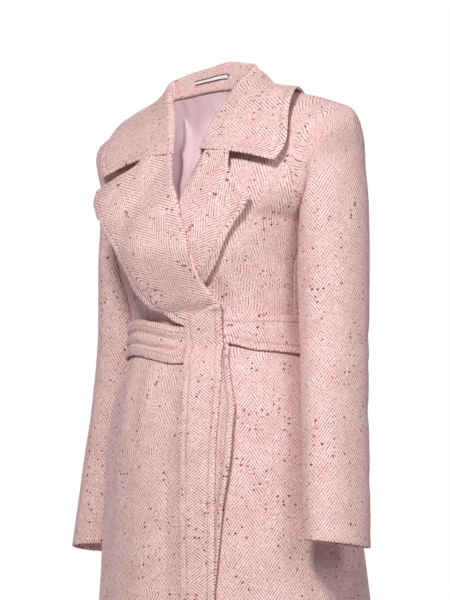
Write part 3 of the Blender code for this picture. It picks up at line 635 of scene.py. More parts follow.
@dataclass
class Cloth:
    """One cut piece as a closed shell: an outer face, an inner face and a rounded rim between them.

    Both faces are rows by columns by 3. Across and along say where each point lies on the flat cloth, and
    edge how far it is from a stitched edge, all in metres. A closed piece's columns join, and its maps have
    one column more.
    """

    name: str
    outer: Grid
    inner: Grid
    across: Grid
    along: Grid
    rests_on: tuple[str, ...]
    edge: Grid | None = None
    closed: bool = False
    held: str = "stretched"
    finish: Finish = Finish.TWEED

    RIM_STEPS: ClassVar[int] = 3
    RIM_BULGE: ClassVar[float] = 0.42
    FAR: ClassVar[float] = 1.0  # stands for no stitched edge nearby
    SEWN_SLOPE: ClassVar[float] = 3.0  # how fast the stitched line leaves an edge that is sewn down
    NARROWEST: ClassVar[float] = 0.0105  # a narrow strip's width with its turned edges

    def build(self, material: bpy.types.Material) -> None:
        """Makes the piece's object, which rides on the coat's body, and replaces its node.

        Args:
            material: The piece's finish.
        """
        piece = add_object("dressed_" + self.name, self.mesh())
        piece.data.materials.append(material)
        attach(piece, "root")
        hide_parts(self.name)
        self.declare()
        LOG.info("%s: %d faces", piece.name, len(piece.data.polygons))

    def mesh(self) -> bpy.types.Mesh:
        """Makes the shell: its two faces, then a rim along each loop of its edge, with both UV maps.

        Returns:
            The mesh.
        """
        rows, columns = self.outer.shape[:2]
        index = np.arange(rows * columns).reshape(rows, columns)
        edge = self.edge if self.edge is not None else np.full(index.shape, self.FAR)
        if self.closed:
            index, edge = wrapped(index), wrapped(edge)
        maps = np.stack([self.across, self.along, edge, self.along], axis=-1)
        points = [self.outer.reshape(-1, 3), self.inner.reshape(-1, 3)]
        parts = [self.quads(index, maps), self.quads(index[:, ::-1] + rows * columns, maps[:, ::-1])]
        for loop, ring in zip(self.rims(index), self.rims(maps)):
            more, strip = self.rim(loop, rows * columns, sum(map(len, points)))
            points.append(more)
            parts.append(self.quads(strip, np.broadcast_to(ring, (self.RIM_STEPS + 2, *ring.shape))))
        faces, corners = (np.concatenate(part) for part in zip(*parts))
        mesh = bpy.data.meshes.new(self.name)
        mesh.from_pydata(np.concatenate(points).tolist(), [], faces.tolist())
        corners = corners.reshape(-1, 4)
        for title, part in (("cloth", corners[:, :2]), ("edge", corners[:, 2:])):
            layer = mesh.uv_layers.new(name=title)
            layer.uv.foreach_set("vector", np.ascontiguousarray(part, np.float32).ravel())
        mesh.shade_smooth()
        mesh.update()
        return mesh

    def declare(self) -> None:
        """Measures the piece's widest and longest lines, the width no less than NARROWEST, and keeps neither.
        """
        middle = (self.outer + self.inner) / 2
        if self.closed:
            middle = wrapped(middle)
        width, length = (float(np.ptp(arc_lengths(middle, axis), axis=axis).max()) for axis in (1, 0))
        width = max(width, self.NARROWEST)

    @staticmethod
    def quads(index: Grid, maps: Grid) -> tuple[Grid, Grid]:
        """Faces of a grid of vertex numbers, and the map values at their corners.

        Args:
            index: Rows by columns of vertex numbers.
            maps: Rows by columns of map values.

        Returns:
            Faces by 4 vertex numbers, and faces by 4 corners by map values.
        """
        corners = [(grid[:-1, :-1], grid[:-1, 1:], grid[1:, 1:], grid[1:, :-1]) for grid in (index, maps)]
        faces, places = (np.stack(corner, axis=2) for corner in corners)
        return faces.reshape(-1, 4), places.reshape(-1, 4, maps.shape[-1])

    def rims(self, grid: Grid) -> list[Grid]:
        """The grid's edge as closed loops: two rings on a tube, and one loop round an open piece.

        Args:
            grid: Rows by columns of numbers or maps.

        Returns:
            The loops, each with its first point again at its end.
        """
        if self.closed:
            return [grid[0], grid[-1][::-1]]
        return [np.concatenate([grid[0], grid[1:, -1], grid[-1, -2::-1], grid[-2::-1, 0]])]

    def rim(self, loop: Grid, count: int, start: int) -> tuple[Grid, Grid]:
        """The rounded rim along one loop: its middle lines bulge out as half an ellipse.

        Args:
            loop: Vertex numbers of the outer face's edge, with the first one again at the end.
            count: How many vertices each face has.
            start: The number that the first new vertex gets.

        Returns:
            The new points, and the strip of vertex numbers from the inner face's edge to the outer one's.
        """
        outer, inner = (face.reshape(-1, 3)[loop[:-1]] for face in (self.outer, self.inner))
        along = np.roll(outer, -1, axis=0) - np.roll(outer, 1, axis=0)
        through = outer - inner
        away = unit(np.cross(along, through))
        angle = np.linspace(0, np.pi, self.RIM_STEPS + 2)[1:-1, None, None]
        bulge = away * (np.linalg.norm(through, axis=-1, keepdims=True) * self.RIM_BULGE)
        more = (outer + inner) / 2 - np.cos(angle) * through / 2 + np.sin(angle) * bulge
        new = wrapped(start + np.arange(self.RIM_STEPS * len(outer)).reshape(self.RIM_STEPS, len(outer)))
        return more.reshape(-1, 3), np.concatenate([loop[None] + count, new, loop[None]])


def turned_edge(edge: Grid, normals: Grid, beyond: Grid, radius: float, count: int) -> tuple[Grid, Grid]:
    """The two faces of a half turn round an edge, from the panel's plane to lying over the panel.

    Args:
        edge: Points of the edge.
        normals: The panel's normals there.
        beyond: Ways that lead out past the edge.
        radius: Inner radius of the turn.
        count: How many columns the turn has.

    Returns:
        Outer and inner points, edge points by columns.
    """
    angles = np.linspace(-np.pi / 2, np.pi / 2, count)[None, :, None]
    centre = (edge + normals * radius + beyond * SEAM_GAP)[:, None]
    spoke = beyond[:, None] * np.cos(angles) + normals[:, None] * np.sin(angles)
    return centre + spoke * (radius + FOLDED_WOOL), centre + spoke * radius


def strap_edge(across: Grid, along: Grid) -> Grid:
    """How far each point of a hanging strap is from its foot and its two long edges."""
    return np.minimum(np.minimum(across, across[:, -1:] - across), along)


class Assembly:
    """Pieces that are cut and dressed together."""

    def pieces(self) -> list[Cloth]:
        """The assembly's pieces."""
        raise NotImplementedError

    def build(self, finishes: dict[Finish, bpy.types.Material]) -> None:
        """Makes each piece in its finish, and reports it.

        Args:
            finishes: The material of each finish.
        """
        for piece in self.pieces():
            piece.build(finishes[piece.finish])
        LOG.info("%s done", type(self).__name__)


def levels_between(*stops: tuple[float, int]) -> Grid:
    """Levels from each stop to the next in as many steps as the stop says."""
    parts = [np.linspace(a[0], b[0], a[1], endpoint=False) for a, b in zip(stops, stops[1:])]
    return np.concatenate([*parts, [stops[-1][0]]])


def risen(level: Grid) -> Grid:
    """The height of a level between the hem, 0, and the shoulder, 1."""
    return (level - HEM) / (SHOULDER - HEM)


LEVELS = levels_between((HEM, 52), (-0.500, 50), (UNDERARM, 44), (SHOULDER, 0))
WAIST_ROW = int(np.argmin(np.abs(LEVELS - WAIST)))


@dataclass
class Body(Assembly):
    """The two fronts and the back."""

    front_columns: int = 60
    back_columns: int = 84
    fold_fade: float = 0.06
    leaning: tuple[float, float] = (-0.13, -0.07)
    edge_top: float = -0.34
    # Folds on the wearer's left and right front and on the back, in x and z.
    left_folds: tuple[Crease, ...] = (
        Crease((0.100, -0.330), (0.104, -0.262), 0.0090, 0.0030),
        Crease((0.070, -0.325), (0.074, -0.290), 0.0070, 0.0022),
        Crease((0.086, -0.328), (0.088, -0.280), 0.0080, -0.0016),
        Crease((0.118, -0.330), (0.121, -0.285), 0.0080, -0.0014),
        Crease((0.108, -0.400), (0.112, -0.470), 0.0090, 0.0016),
        Crease((0.090, -0.620), (0.098, -1.110), 0.0200, 0.0022),
        Crease((0.140, -0.700), (0.158, -1.115), 0.0260, 0.0034),
    )
    right_folds: tuple[Crease, ...] = (
        Crease((0.022, -0.430), (0.024, -1.100), 0.0130, 0.0066),
        Crease((-0.024, -0.400), (-0.036, -1.110), 0.0240, -0.0034),
        Crease((-0.100, -0.410), (-0.132, -1.110), 0.0190, 0.0062),
        Crease((-0.040, -0.392), (-0.046, -0.500), 0.0090, 0.0022),
        Crease((-0.082, -0.392), (-0.094, -0.520), 0.0100, 0.0026),
        Crease((-0.088, -0.330), (-0.100, -0.262), 0.0100, 0.0026),
        Crease((-0.060, -0.330), (-0.066, -0.290), 0.0080, 0.0016),
    )
    back_folds: tuple[Crease, ...] = (
        Crease((0.030, -0.410), (0.042, -1.100), 0.0200, 0.0046),
        Crease((-0.018, -0.400), (-0.030, -1.110), 0.0230, -0.0042),
        Crease((-0.074, -0.410), (-0.098, -1.090), 0.0210, 0.0052),
        Crease((0.088, -0.400), (0.120, -1.110), 0.0240, 0.0044),
        Crease((0.058, -0.395), (0.064, -0.520), 0.0100, 0.0024),
        Crease((-0.044, -0.395), (-0.048, -0.500), 0.0090, 0.0022),
        Crease((0.024, -0.325), (0.028, -0.240), 0.0110, 0.0024),
        Crease((-0.052, -0.325), (-0.060, -0.250), 0.0100, 0.0026),
        Crease((0.078, -0.328), (0.088, -0.262), 0.0110, 0.0022),
    )

    def chart(self, outer: Grid) -> tuple[Grid, Grid]:
        """The cloth's map on a panel: level lengths along the rows, and heights over the waist.

        Where the panel leans back over the shoulder, the second one follows the cloth instead.

        Args:
            outer: The panel's outer face.

        Returns:
            Across and along.
        """
        steps = np.diff(outer, axis=0)
        leaning = smooth_step(*self.leaning, (outer[1:, :, 2] + outer[:-1, :, 2]) / 2)
        run = np.cumsum(np.hypot(steps[..., 2], leaning * steps[..., 1]), axis=0)
        run = np.concatenate([0 * run[:1], run])
        return arc_lengths(outer * (1, 1, 0), 1), run - run[WAIST_ROW]

    def folded(self, face: tuple[Grid, Grid], share: Grid, folds: Sequence[Crease]) -> Grid:
        """A panel's outer face with its folds, which fade out towards the side seam and the armhole.

        Args:
            face: The flat panel's points and normals.
            share: Shares of the points.
            folds: Its folds.

        Returns:
            The points.
        """
        clear = smooth_step(0.0, self.fold_fade, 1 - np.abs(share))[..., None]
        return creased(face[0], face[1] * clear, (face[0][..., 0], face[0][..., 2]), folds)

    def front(self, side: Side) -> Cloth:
        """A front, from its side seam or armhole to its roll line and free edge.

        Args:
            side: Which front.

        Returns:
            The cut piece, its across map 0 at the coat's centre line.
        """
        right = side is Side.RIGHT
        level = LEVELS[:, None]
        free = Skin.front_share(side, level)
        first, last = (-SIDE_SEAM, free) if right else (free, SIDE_SEAM)
        share = first + (last - first) * np.linspace(0, 1, self.front_columns)
        level = np.minimum(level + 0 * share, SHOULDER - SEAM)
        face = Skin.front(side, level, share)
        outer = self.folded(face, share, self.right_folds if right else self.left_folds)
        across, along = self.chart(outer)
        edge = np.abs(across - across[:, [-1 if right else 0]])
        edge = np.where(level < self.edge_top, edge, Cloth.FAR)
        centre = across[np.arange(len(LEVELS)), np.argmin(np.abs(share), axis=1)]
        inner, across = outer - face[1] * WOOL, across - centre[:, None]
        return Cloth("front_" + side.value, outer, inner, across, along, ("back",), edge)

    def back(self) -> Cloth:
        """The back, in one piece, from side seam to side seam and up to the shoulder seams and the neck.

        Returns:
            The cut piece.
        """
        share = np.linspace(SIDE_SEAM, -SIDE_SEAM, self.back_columns)[None, :]
        face = Skin.back(risen(LEVELS[:, None]), share)
        outer = self.folded(face, share, self.back_folds)
        across, along = self.chart(outer)
        across = across - across[:, [self.back_columns // 2]]
        return Cloth("back", outer, outer - face[1] * WOOL, across, along, ("front_left",))

    def pieces(self) -> list[Cloth]:
        """The three panels."""
        return [self.front(Side.RIGHT), self.front(Side.LEFT), self.back()]


@dataclass
class Lapels(Assembly):
    """The two lapels, each turned round its front's edge and laid back on it."""

    rows: int = 80
    turn_columns: int = 9
    fall_columns: int = 30
    fine: int = 501
    roll: float = 0.0012
    notch: float = 0.40
    notch_slit: float = 0.004  # half of its width
    curl: float = 1.3
    top_fade: float = 0.35
    gorge_gap: ClassVar[dict[Side, float]] = {Side.RIGHT: 0.0022, Side.LEFT: 0.0014}
    # How high the sewn part of the top stands to meet the collar, and how soon that starts and ends.
    gorge_rise: ClassVar[dict[Side, float]] = {Side.RIGHT: 0.0, Side.LEFT: 0.0095}
    rise_along: float = 0.30
    rise_start: float = 0.075
    rise_end: float = 0.3

    def roll_line(self, side: Side, level: Grid) -> tuple[Grid, Grid, Grid]:
        """A front's inner edge, with the ways that lead over the front and out past its edge.

        Args:
            side: Which front.
            level: Levels of the points.

        Returns:
            Points, normals and ways out.
        """
        edge, normals = Skin.front(side, level, Skin.front_share(side, level))
        after, before = (Skin.front(side, near, Skin.front_share(side, near))[0]
                         for near in (level + SLOPE_STEP, level - SLOPE_STEP))
        along = unit(after - before)
        beyond = np.cross(normals, along) if side is Side.LEFT else np.cross(along, normals)
        return edge, normals, unit(beyond)

    def lapel(self, side: Side) -> Cloth:
        """A lapel, ever higher over its front from the roll to its edge.

        Args:
            side: Which lapel.

        Returns:
            The cut piece. Its across map runs in from its outer edge, so the weave follows that edge.
        """
        table, top = LAPELS[side], LAPEL_TOPS[side]
        roll_level = np.linspace(*table.at("roll_level", ENDS), self.rows)
        fine = np.linspace(0, 1, self.fine)
        along = np.interp(-roll_level, -table.at("roll_level", fine), fine)[:, None]
        roll_x = FRONT_EDGES.at(side.value + "_x", roll_level)[:, None]
        turned = turned_edge(*self.roll_line(side, roll_level), self.roll, self.turn_columns)
        across = np.linspace(0, 1, self.fall_columns + 1)[1:]
        across = np.unique([*across, self.notch - self.notch_slit, self.notch + self.notch_slit])[None]
        fade = 1 - smooth_step(0.0, self.top_fade, along)

        def lies(column: str, start: Grid) -> Grid:
            """A straight run from the roll to the edge, bent near the top as the gorge and notch bend it.

            Args:
                column: The tables' column.
                start: Its value at the roll.

            Returns:
                Its values, rows by columns.
            """
            straight = start + (table.at(column, along) - start) * across
            first, last = top.at(column, ENDS)
            return straight + fade * (top.at(column, across) - (first + (last - first) * across))

        level, x = lies("level", roll_level[:, None]), lies("x", roll_x)
        lift = table.at("lift", along) * across**self.curl
        sewn = smooth_step(0.0, self.rise_start, across)
        sewn = sewn * (1 - smooth_step(self.notch, self.notch + self.rise_end, across))
        lift = lift + self.gorge_rise[side] * (1 - smooth_step(0.0, self.rise_along, along)) * sewn
        level = level - self.gorge_gap[side] * fade * (across <= self.notch)
        points, normals = Skin.front(side, level, Skin.share_at(level, x))
        outer = points + normals * (2 * self.roll + FOLDED_WOOL + lift)[..., None]
        inner = outer - normals * FOLDED_WOOL
        outer, inner = (np.concatenate(pair, axis=1) for pair in zip(turned, (outer, inner)))
        side_edge, run = -arc_lengths(outer, 1, outer.shape[1] - 1), arc_lengths(outer, 0)
        notch_column = self.turn_columns + int(np.argmax(across[0] > self.notch))
        sewn = np.maximum(side_edge - side_edge[:, [notch_column]], 0)
        edge = np.minimum(side_edge, run + Cloth.SEWN_SLOPE * sewn)
        down = unit(outer[-1, -1] - outer[0, -1])
        inwards = unit(np.cross(normals.mean(axis=(0, 1)), down))
        offset = outer - outer[0, -1]
        parts = [part[::-1] for part in (outer, inner, np.abs(offset @ inwards), -(offset @ down), edge)]
        if side is Side.RIGHT:
            parts = [part[:, ::-1] for part in parts]
        return Cloth("lapel_" + side.value, *parts[:4], ("front_" + side.value,), parts[4], held="folded")

    def pieces(self) -> list[Cloth]:
        """Both lapels."""
        return [self.lapel(side) for side in Side]


@dataclass
class Collar(Assembly):
    """The collar in one piece, from gorge to gorge, and the bare label sewn on its stand."""

    stations: int = 14
    fine_stations: int = 141
    softening: int = 26
    fall_softening: int = 14
    stand_columns: int = 8
    turn_columns: int = 10
    fall_columns: int = 30
    roll: float = 0.0016
    inset: float = 0.0012
    nape_turn: float = 0.5
    free_end: float = 0.62  # how much of its end, from the tip in, is not sewn to the lapel
    # How far it stands off the chest and, ever more between two levels, off the ridge of the shoulder.
    chest_height: float = 0.0060
    ridge_height: float = 0.0095
    ridge_levels: tuple[float, float] = (-0.105, -0.060)
    body_grid: tuple[int, int] = (91, 121)
    body_foot: float = -0.200
    gorge_level: ClassVar[dict[Side, float]] = {Side.RIGHT: -0.1215, Side.LEFT: -0.1255}
    label_reach: float = 0.154
    label_rise: tuple[float, float] = (0.40, 0.65)
    label_rows: int = 4
    label_thickness: float = 0.0006

    def neckline(self, side: Side) -> tuple[Grid, ...]:
        """Stations of the seam that carries the collar, from the nape to one gorge.

        Args:
            side: Which half of the collar.

        Returns:
            Turns, points, outward normals and ways that lead past the edge.
        """
        turns = np.linspace(0, 1, self.stations)
        sign = -1 if side is Side.RIGHT else 1
        share = sign * NECK_SHARE * turns / self.nape_turn
        edge, normals = Skin.at(Skin.BACK, Skin.neck_level(share), share)
        past = (turns - self.nape_turn) / (1 - self.nape_turn)
        level = SHOULDER - SEAM + (self.gorge_level[side] - SHOULDER) * past
        level = np.minimum(level, SHOULDER - SEAM)
        front_edge, front_normals = Skin.front(side, level, Skin.front_share(side, level))
        on_back = (turns <= self.nape_turn)[:, None]
        edge = np.where(on_back, edge, front_edge)
        normals = np.where(on_back, normals, front_normals)
        along = unit(np.gradient(edge, axis=0))
        beyond = np.cross(along, normals) if side is Side.LEFT else np.cross(normals, along)
        return turns, edge, normals, unit(beyond)

    @staticmethod
    def finer(rows: Grid, count: int) -> Grid:
        """A grid with more rows, on Catmull-Rom curves through the old ones.

        Args:
            rows: Rows by columns by 3.
            count: How many rows there are to be.

        Returns:
            The finer grid.
        """
        where = np.linspace(0, len(rows) - 1, count)
        first = np.minimum(where.astype(int), len(rows) - 2)
        t = (where - first)[:, None, None]
        padded = np.concatenate([2 * rows[:1] - rows[1:2], rows, 2 * rows[-1:] - rows[-2:-1]])
        a, b, c, d = (padded[first + step] for step in range(4))
        return b + 0.5 * t * (c - a + t * (2 * a - 5 * b + 4 * c - d + t * (3 * (b - c) + d - a)))

    def half(self, side: Side) -> Grid:
        """The outer face of half the collar: the stand, the half circle over its top, and the fall.

        The fall is a quadratic curve (1 - t)^2 start + 2 t (1 - t) bend + t^2 hem.

        Args:
            side: Which half.

        Returns:
            Points, stations by columns, from the nape to the gorge.
        """
        turns, edge, normals, beyond = self.neckline(side)
        fold = COLLAR.at("fold", turns)[:, None]
        level_beyond = unit(beyond * (1, 1, 0))
        top = unit((1 - fold) * np.array((0, 0, 1)) + fold * beyond)
        out = unit(-(1 - fold) * level_beyond + fold * normals)
        thick = FOLDED_WOOL
        foot = edge + beyond * (self.inset + (1 - fold) * (self.inset + thick)) - fold * out * thick
        sides = COLLAR_SIDES[side]
        stand, lean = (sides.at(name, turns)[:, None] for name in ("stand", "lean"))
        head = foot + top * stand + level_beyond * lean
        rise = np.linspace(0, 1, self.stand_columns)[None, :-1, None]
        stand = foot[:, None] + (head - foot)[:, None] * rise
        angles = np.linspace(-np.pi / 2, np.pi / 2, self.turn_columns)[None, :, None]
        radius = self.roll + (1 - fold[:, None]) * self.roll
        centre = (head + out * thick)[:, None] + out[:, None] * radius
        turn = centre + (top[:, None] * np.cos(angles) + out[:, None] * np.sin(angles)) * (radius + thick)
        fall_start = turn[:, -1:]
        hem = np.stack([sides.at(axis, turns) for axis in "xyz"], axis=-1)[:, None]
        drop = sides.at("drop", turns)[:, None, None]
        bend = fall_start + (hem - fall_start) * np.concatenate([drop, drop, 1 - drop], axis=-1)
        bend[..., 2] += sides.at("bow", turns)[:, None]
        t = np.linspace(0, 1, self.fall_columns + 1)[None, 1:, None]
        fall = (1 - t) ** 2 * fall_start + 2 * t * (1 - t) * bend + t**2 * hem
        return np.concatenate([stand, turn, fall], axis=1)

    def stand_off(self, points: Grid) -> Grid:
        """The collar's points, those too near to the shoulders and chest moved out along the nearest normal.

        Args:
            points: Rows by columns by 3.

        Returns:
            The moved points.
        """
        rows, columns = self.body_grid
        share = np.linspace(-1, 1, columns)[None, :]
        level = np.linspace(self.body_foot, SHOULDER, rows)[:, None]
        near, normals, levels = [], [], []
        for half, lap in ((Skin.FRONT, Skin.lap_height(level, share)), (Skin.BACK, 0 * level * share)):
            at, way = Skin.at(half, level, share)
            near.append((at + way * lap[..., None]).reshape(-1, 3))
            normals.append(way.reshape(-1, 3))
            levels.append(np.broadcast_to(level, lap.shape).ravel())
        near, normals, levels = np.concatenate(near), np.concatenate(normals), np.concatenate(levels)
        more = self.ridge_height - self.chest_height
        least = self.chest_height + more * smooth_step(*self.ridge_levels, levels)
        moved = []
        for row in points:
            nearest = np.argmin(((row[:, None] - near[None]) ** 2).sum(axis=-1), axis=1)
            above = ((row - near[nearest]) * normals[nearest]).sum(axis=-1)
            short = np.maximum(least[nearest] - above, 0)[:, None]
            moved.append(row + normals[nearest] * short)
        return np.array(moved)

    def face(self) -> tuple[Grid, Grid]:
        """The whole outer face from the right gorge to the left one, softened along and across.

        Returns:
            Points and normals, which point into the cloth.
        """
        outer = np.concatenate([self.half(Side.RIGHT)[::-1], self.half(Side.LEFT)[1:]])
        fall = self.stand_columns + self.turn_columns - 1
        outer[:, fall:] = self.stand_off(outer[:, fall:])
        outer = self.finer(outer, self.fine_stations)
        for _ in range(self.softening):
            outer[1:-1] = (outer[:-2] + 2 * outer[1:-1] + outer[2:]) / 4
        drape = outer[:, fall:]
        for _ in range(self.fall_softening):
            drape[:, 1:-1] = (drape[:, :-2] + 2 * drape[:, 1:-1] + drape[:, 2:]) / 4
        return outer, grid_normals(outer)

    def collar(self) -> Cloth:
        """The collar, its weave running from the roll to the outer edge.

        Returns:
            The cut piece.
        """
        outer, normals = self.face()
        roll = self.stand_columns + self.turn_columns // 2
        neck = arc_lengths((outer[:, [roll]] + outer[:, [-1]]) / 2, 0, len(outer) // 2)
        across = np.broadcast_to(neck, outer.shape[:2])
        hem = -arc_lengths(outer, 1, outer.shape[1] - 1)
        ends = np.minimum(arc_lengths(outer, 0), -arc_lengths(outer, 0, len(outer) - 1))
        sewn = np.maximum(hem - self.free_end * hem[:, [roll]], 0)
        edge = np.minimum(hem, ends + Cloth.SEWN_SLOPE * sewn)
        parts = outer, outer + normals * FOLDED_WOOL, across, arc_lengths(outer, 1, roll), edge
        *shell, edge = (part[:, ::-1] for part in parts)
        return Cloth("collar", *shell, ("front_left", "front_right", "back"), edge, held="folded")

    def label(self) -> Cloth:
        """The bare label, across the nape on the stand.

        Returns:
            The cut piece.
        """
        outer, normals = self.face()
        chosen = np.abs(np.linspace(-1, 1, len(outer))) <= self.label_reach
        foot, head = outer[chosen, 0], outer[chosen, self.stand_columns - 1]
        rise = np.linspace(*self.label_rise, self.label_rows)[None, :, None]
        inwards = normals[chosen, 2][:, None]
        inner = (foot[:, None] + (head - foot)[:, None] * rise - inwards * SEAM)[:, ::-1]
        outer = inner - inwards * self.label_thickness
        across, along = both_lengths(outer)
        edge = np.minimum(across, across[:, -1:] - across)
        return Cloth("label", outer, inner, across, along, ("collar",), edge, finish=Finish.TAPE)

    def pieces(self) -> list[Cloth]:
        """The collar and the label."""
        return [self.collar(), self.label()]


@dataclass
class Sleeves(Assembly):
    """The two set-in sleeves, open at the armhole and at the cuff."""

    rows: int = 120
    first_rows: tuple[float, ...] = (0.0, 0.01, 0.02, 0.035)
    even_rows_start: float = 0.05
    armhole_blend: float = 0.22
    armhole_reach: float = 0.25
    fold_fade: float = 0.1
    levels: ClassVar[tuple[float, ...]] = (
        UNDERARM, -0.198, -0.190, -0.173, -0.151, -0.127, -0.103, -0.083, -0.066, -0.055, SHOULDER
    )
    finer: int = 4
    # Folds in metres round the sleeve from its outer line, the front below 0, and down from the armhole.
    folds: tuple[Crease, ...] = (
        Crease((-0.082, 0.215), (-0.022, 0.262), 0.0110, 0.0017),
        Crease((-0.090, 0.262), (-0.034, 0.290), 0.0090, 0.0014),
        Crease((-0.086, 0.330), (-0.020, 0.366), 0.0130, 0.0015),
        Crease((0.064, 0.300), (0.110, 0.336), 0.0110, 0.0020),
        Crease((-0.070, 0.440), (-0.012, 0.466), 0.0140, 0.0012),
        Crease((0.070, 0.400), (0.112, 0.430), 0.0120, 0.0018),
        Crease((-0.095, 0.120), (-0.066, 0.200), 0.0100, 0.0016),
        Crease((0.072, 0.110), (0.100, 0.190), 0.0100, 0.0022),
        Crease((-0.050, 0.520), (-0.006, 0.540), 0.0120, 0.0008),
    )

    def armhole(self) -> tuple[Grid, Grid, Grid]:
        """The armhole as a loop of the panels' rows, up the front and down the back.

        Returns:
            Points, normals, and ways that lead out of it.
        """
        steps = (len(self.levels) - 1) * self.finer
        rising = np.interp(np.arange(steps + 1) / self.finer, np.arange(len(self.levels)), self.levels)
        rising = np.minimum(rising, SHOULDER - SEAM)
        halves = Skin.at(Skin.FRONT, rising, 1.0), Skin.at(Skin.BACK, rising[-2:0:-1], 1.0)
        points, normals = (np.concatenate(pair) for pair in zip(*halves))
        along = np.roll(points, -1, axis=0) - np.roll(points, 1, axis=0)
        return points, normals, unit(np.cross(along, normals))

    @staticmethod
    def chart(rings: Grid) -> tuple[Grid, Grid]:
        """The cloth's map on a tube: round it from its outer line, square to its axis, and down along it.

        Args:
            rings: The tube's rows, from the cuff up, each with its first point again at its end.

        Returns:
            Around and down.
        """
        centre = rings.mean(axis=1)
        axis = unit(np.gradient(centre, axis=0))[:, None]
        offset = ((rings - centre[:, None]) * axis).sum(axis=-1)
        run = arc_lengths(centre[:, None], 0, len(rings) - 1)
        around = arc_lengths(rings - offset[..., None] * axis, 1, rings.shape[1] // 2)
        return around, -(run + offset)

    def sleeve(self, side: Side) -> Cloth:
        """A sleeve: tilted rings that turn from the armhole's shape into ellipses down to the cuff.

        Args:
            side: Which sleeve. Both are built on the wearer's left, and the right one's x is turned round.

        Returns:
            The cut piece, its weave running down from the armhole.
        """
        even = np.linspace(self.even_rows_start, 1, self.rows - len(self.first_rows))
        along = np.concatenate([self.first_rows, even])
        loop, loop_normals, away = self.armhole()
        angle = 2 * np.pi * np.arange(len(loop)) / len(loop)
        middle_y = SLEEVE.at(side.value + "_y", along)
        top, bottom = (
            np.stack([SLEEVE.at(line + "_x", along), middle_y, SLEEVE.at(line + "_z", along)], axis=-1)
            for line in ("outer", "inner")
        )
        centre, spoke = (top + bottom)[:, None] / 2, (top - bottom)[:, None] / 2
        forward = SLEEVE.at("depth", along)[:, None] * np.sin(angle)
        rings = centre - spoke * np.cos(angle)[None, :, None]
        rings = rings + np.stack([0 * forward, -forward, forward * SLEEVE.at("tip", along)[:, None]], axis=-1)
        loop = loop + away * SEAM_GAP
        blend = smooth_step(0.0, self.armhole_blend, along)[:, None, None]
        rings = (1 - blend) * (loop + away * along[:, None, None] * self.armhole_reach) + blend * rings
        rings[0] = loop
        rings, blend = rings[::-1], blend[::-1]
        normals = unit((1 - blend) * loop_normals + blend * grid_normals(rings, closed=True))
        around, down = self.chart(wrapped(rings))
        fading = normals * smooth_step(0.0, self.fold_fade, blend)
        outer = creased(rings, fading, (-around[:, :-1], down[:, :-1]), self.folds)
        inner = outer - normals * WOOL
        if side is Side.RIGHT:
            outer, inner = (np.roll(face[:, ::-1] * (-1, 1, 1), 1, axis=1) for face in (outer, inner))
            around, down = around[:, ::-1], down[:, ::-1]
        rests = ("front_" + side.value, "back")
        return Cloth("sleeve_" + side.value, outer, inner, around, -down, rests, closed=True)

    def pieces(self) -> list[Cloth]:
        """Both sleeves."""
        return [self.sleeve(side) for side in Side]


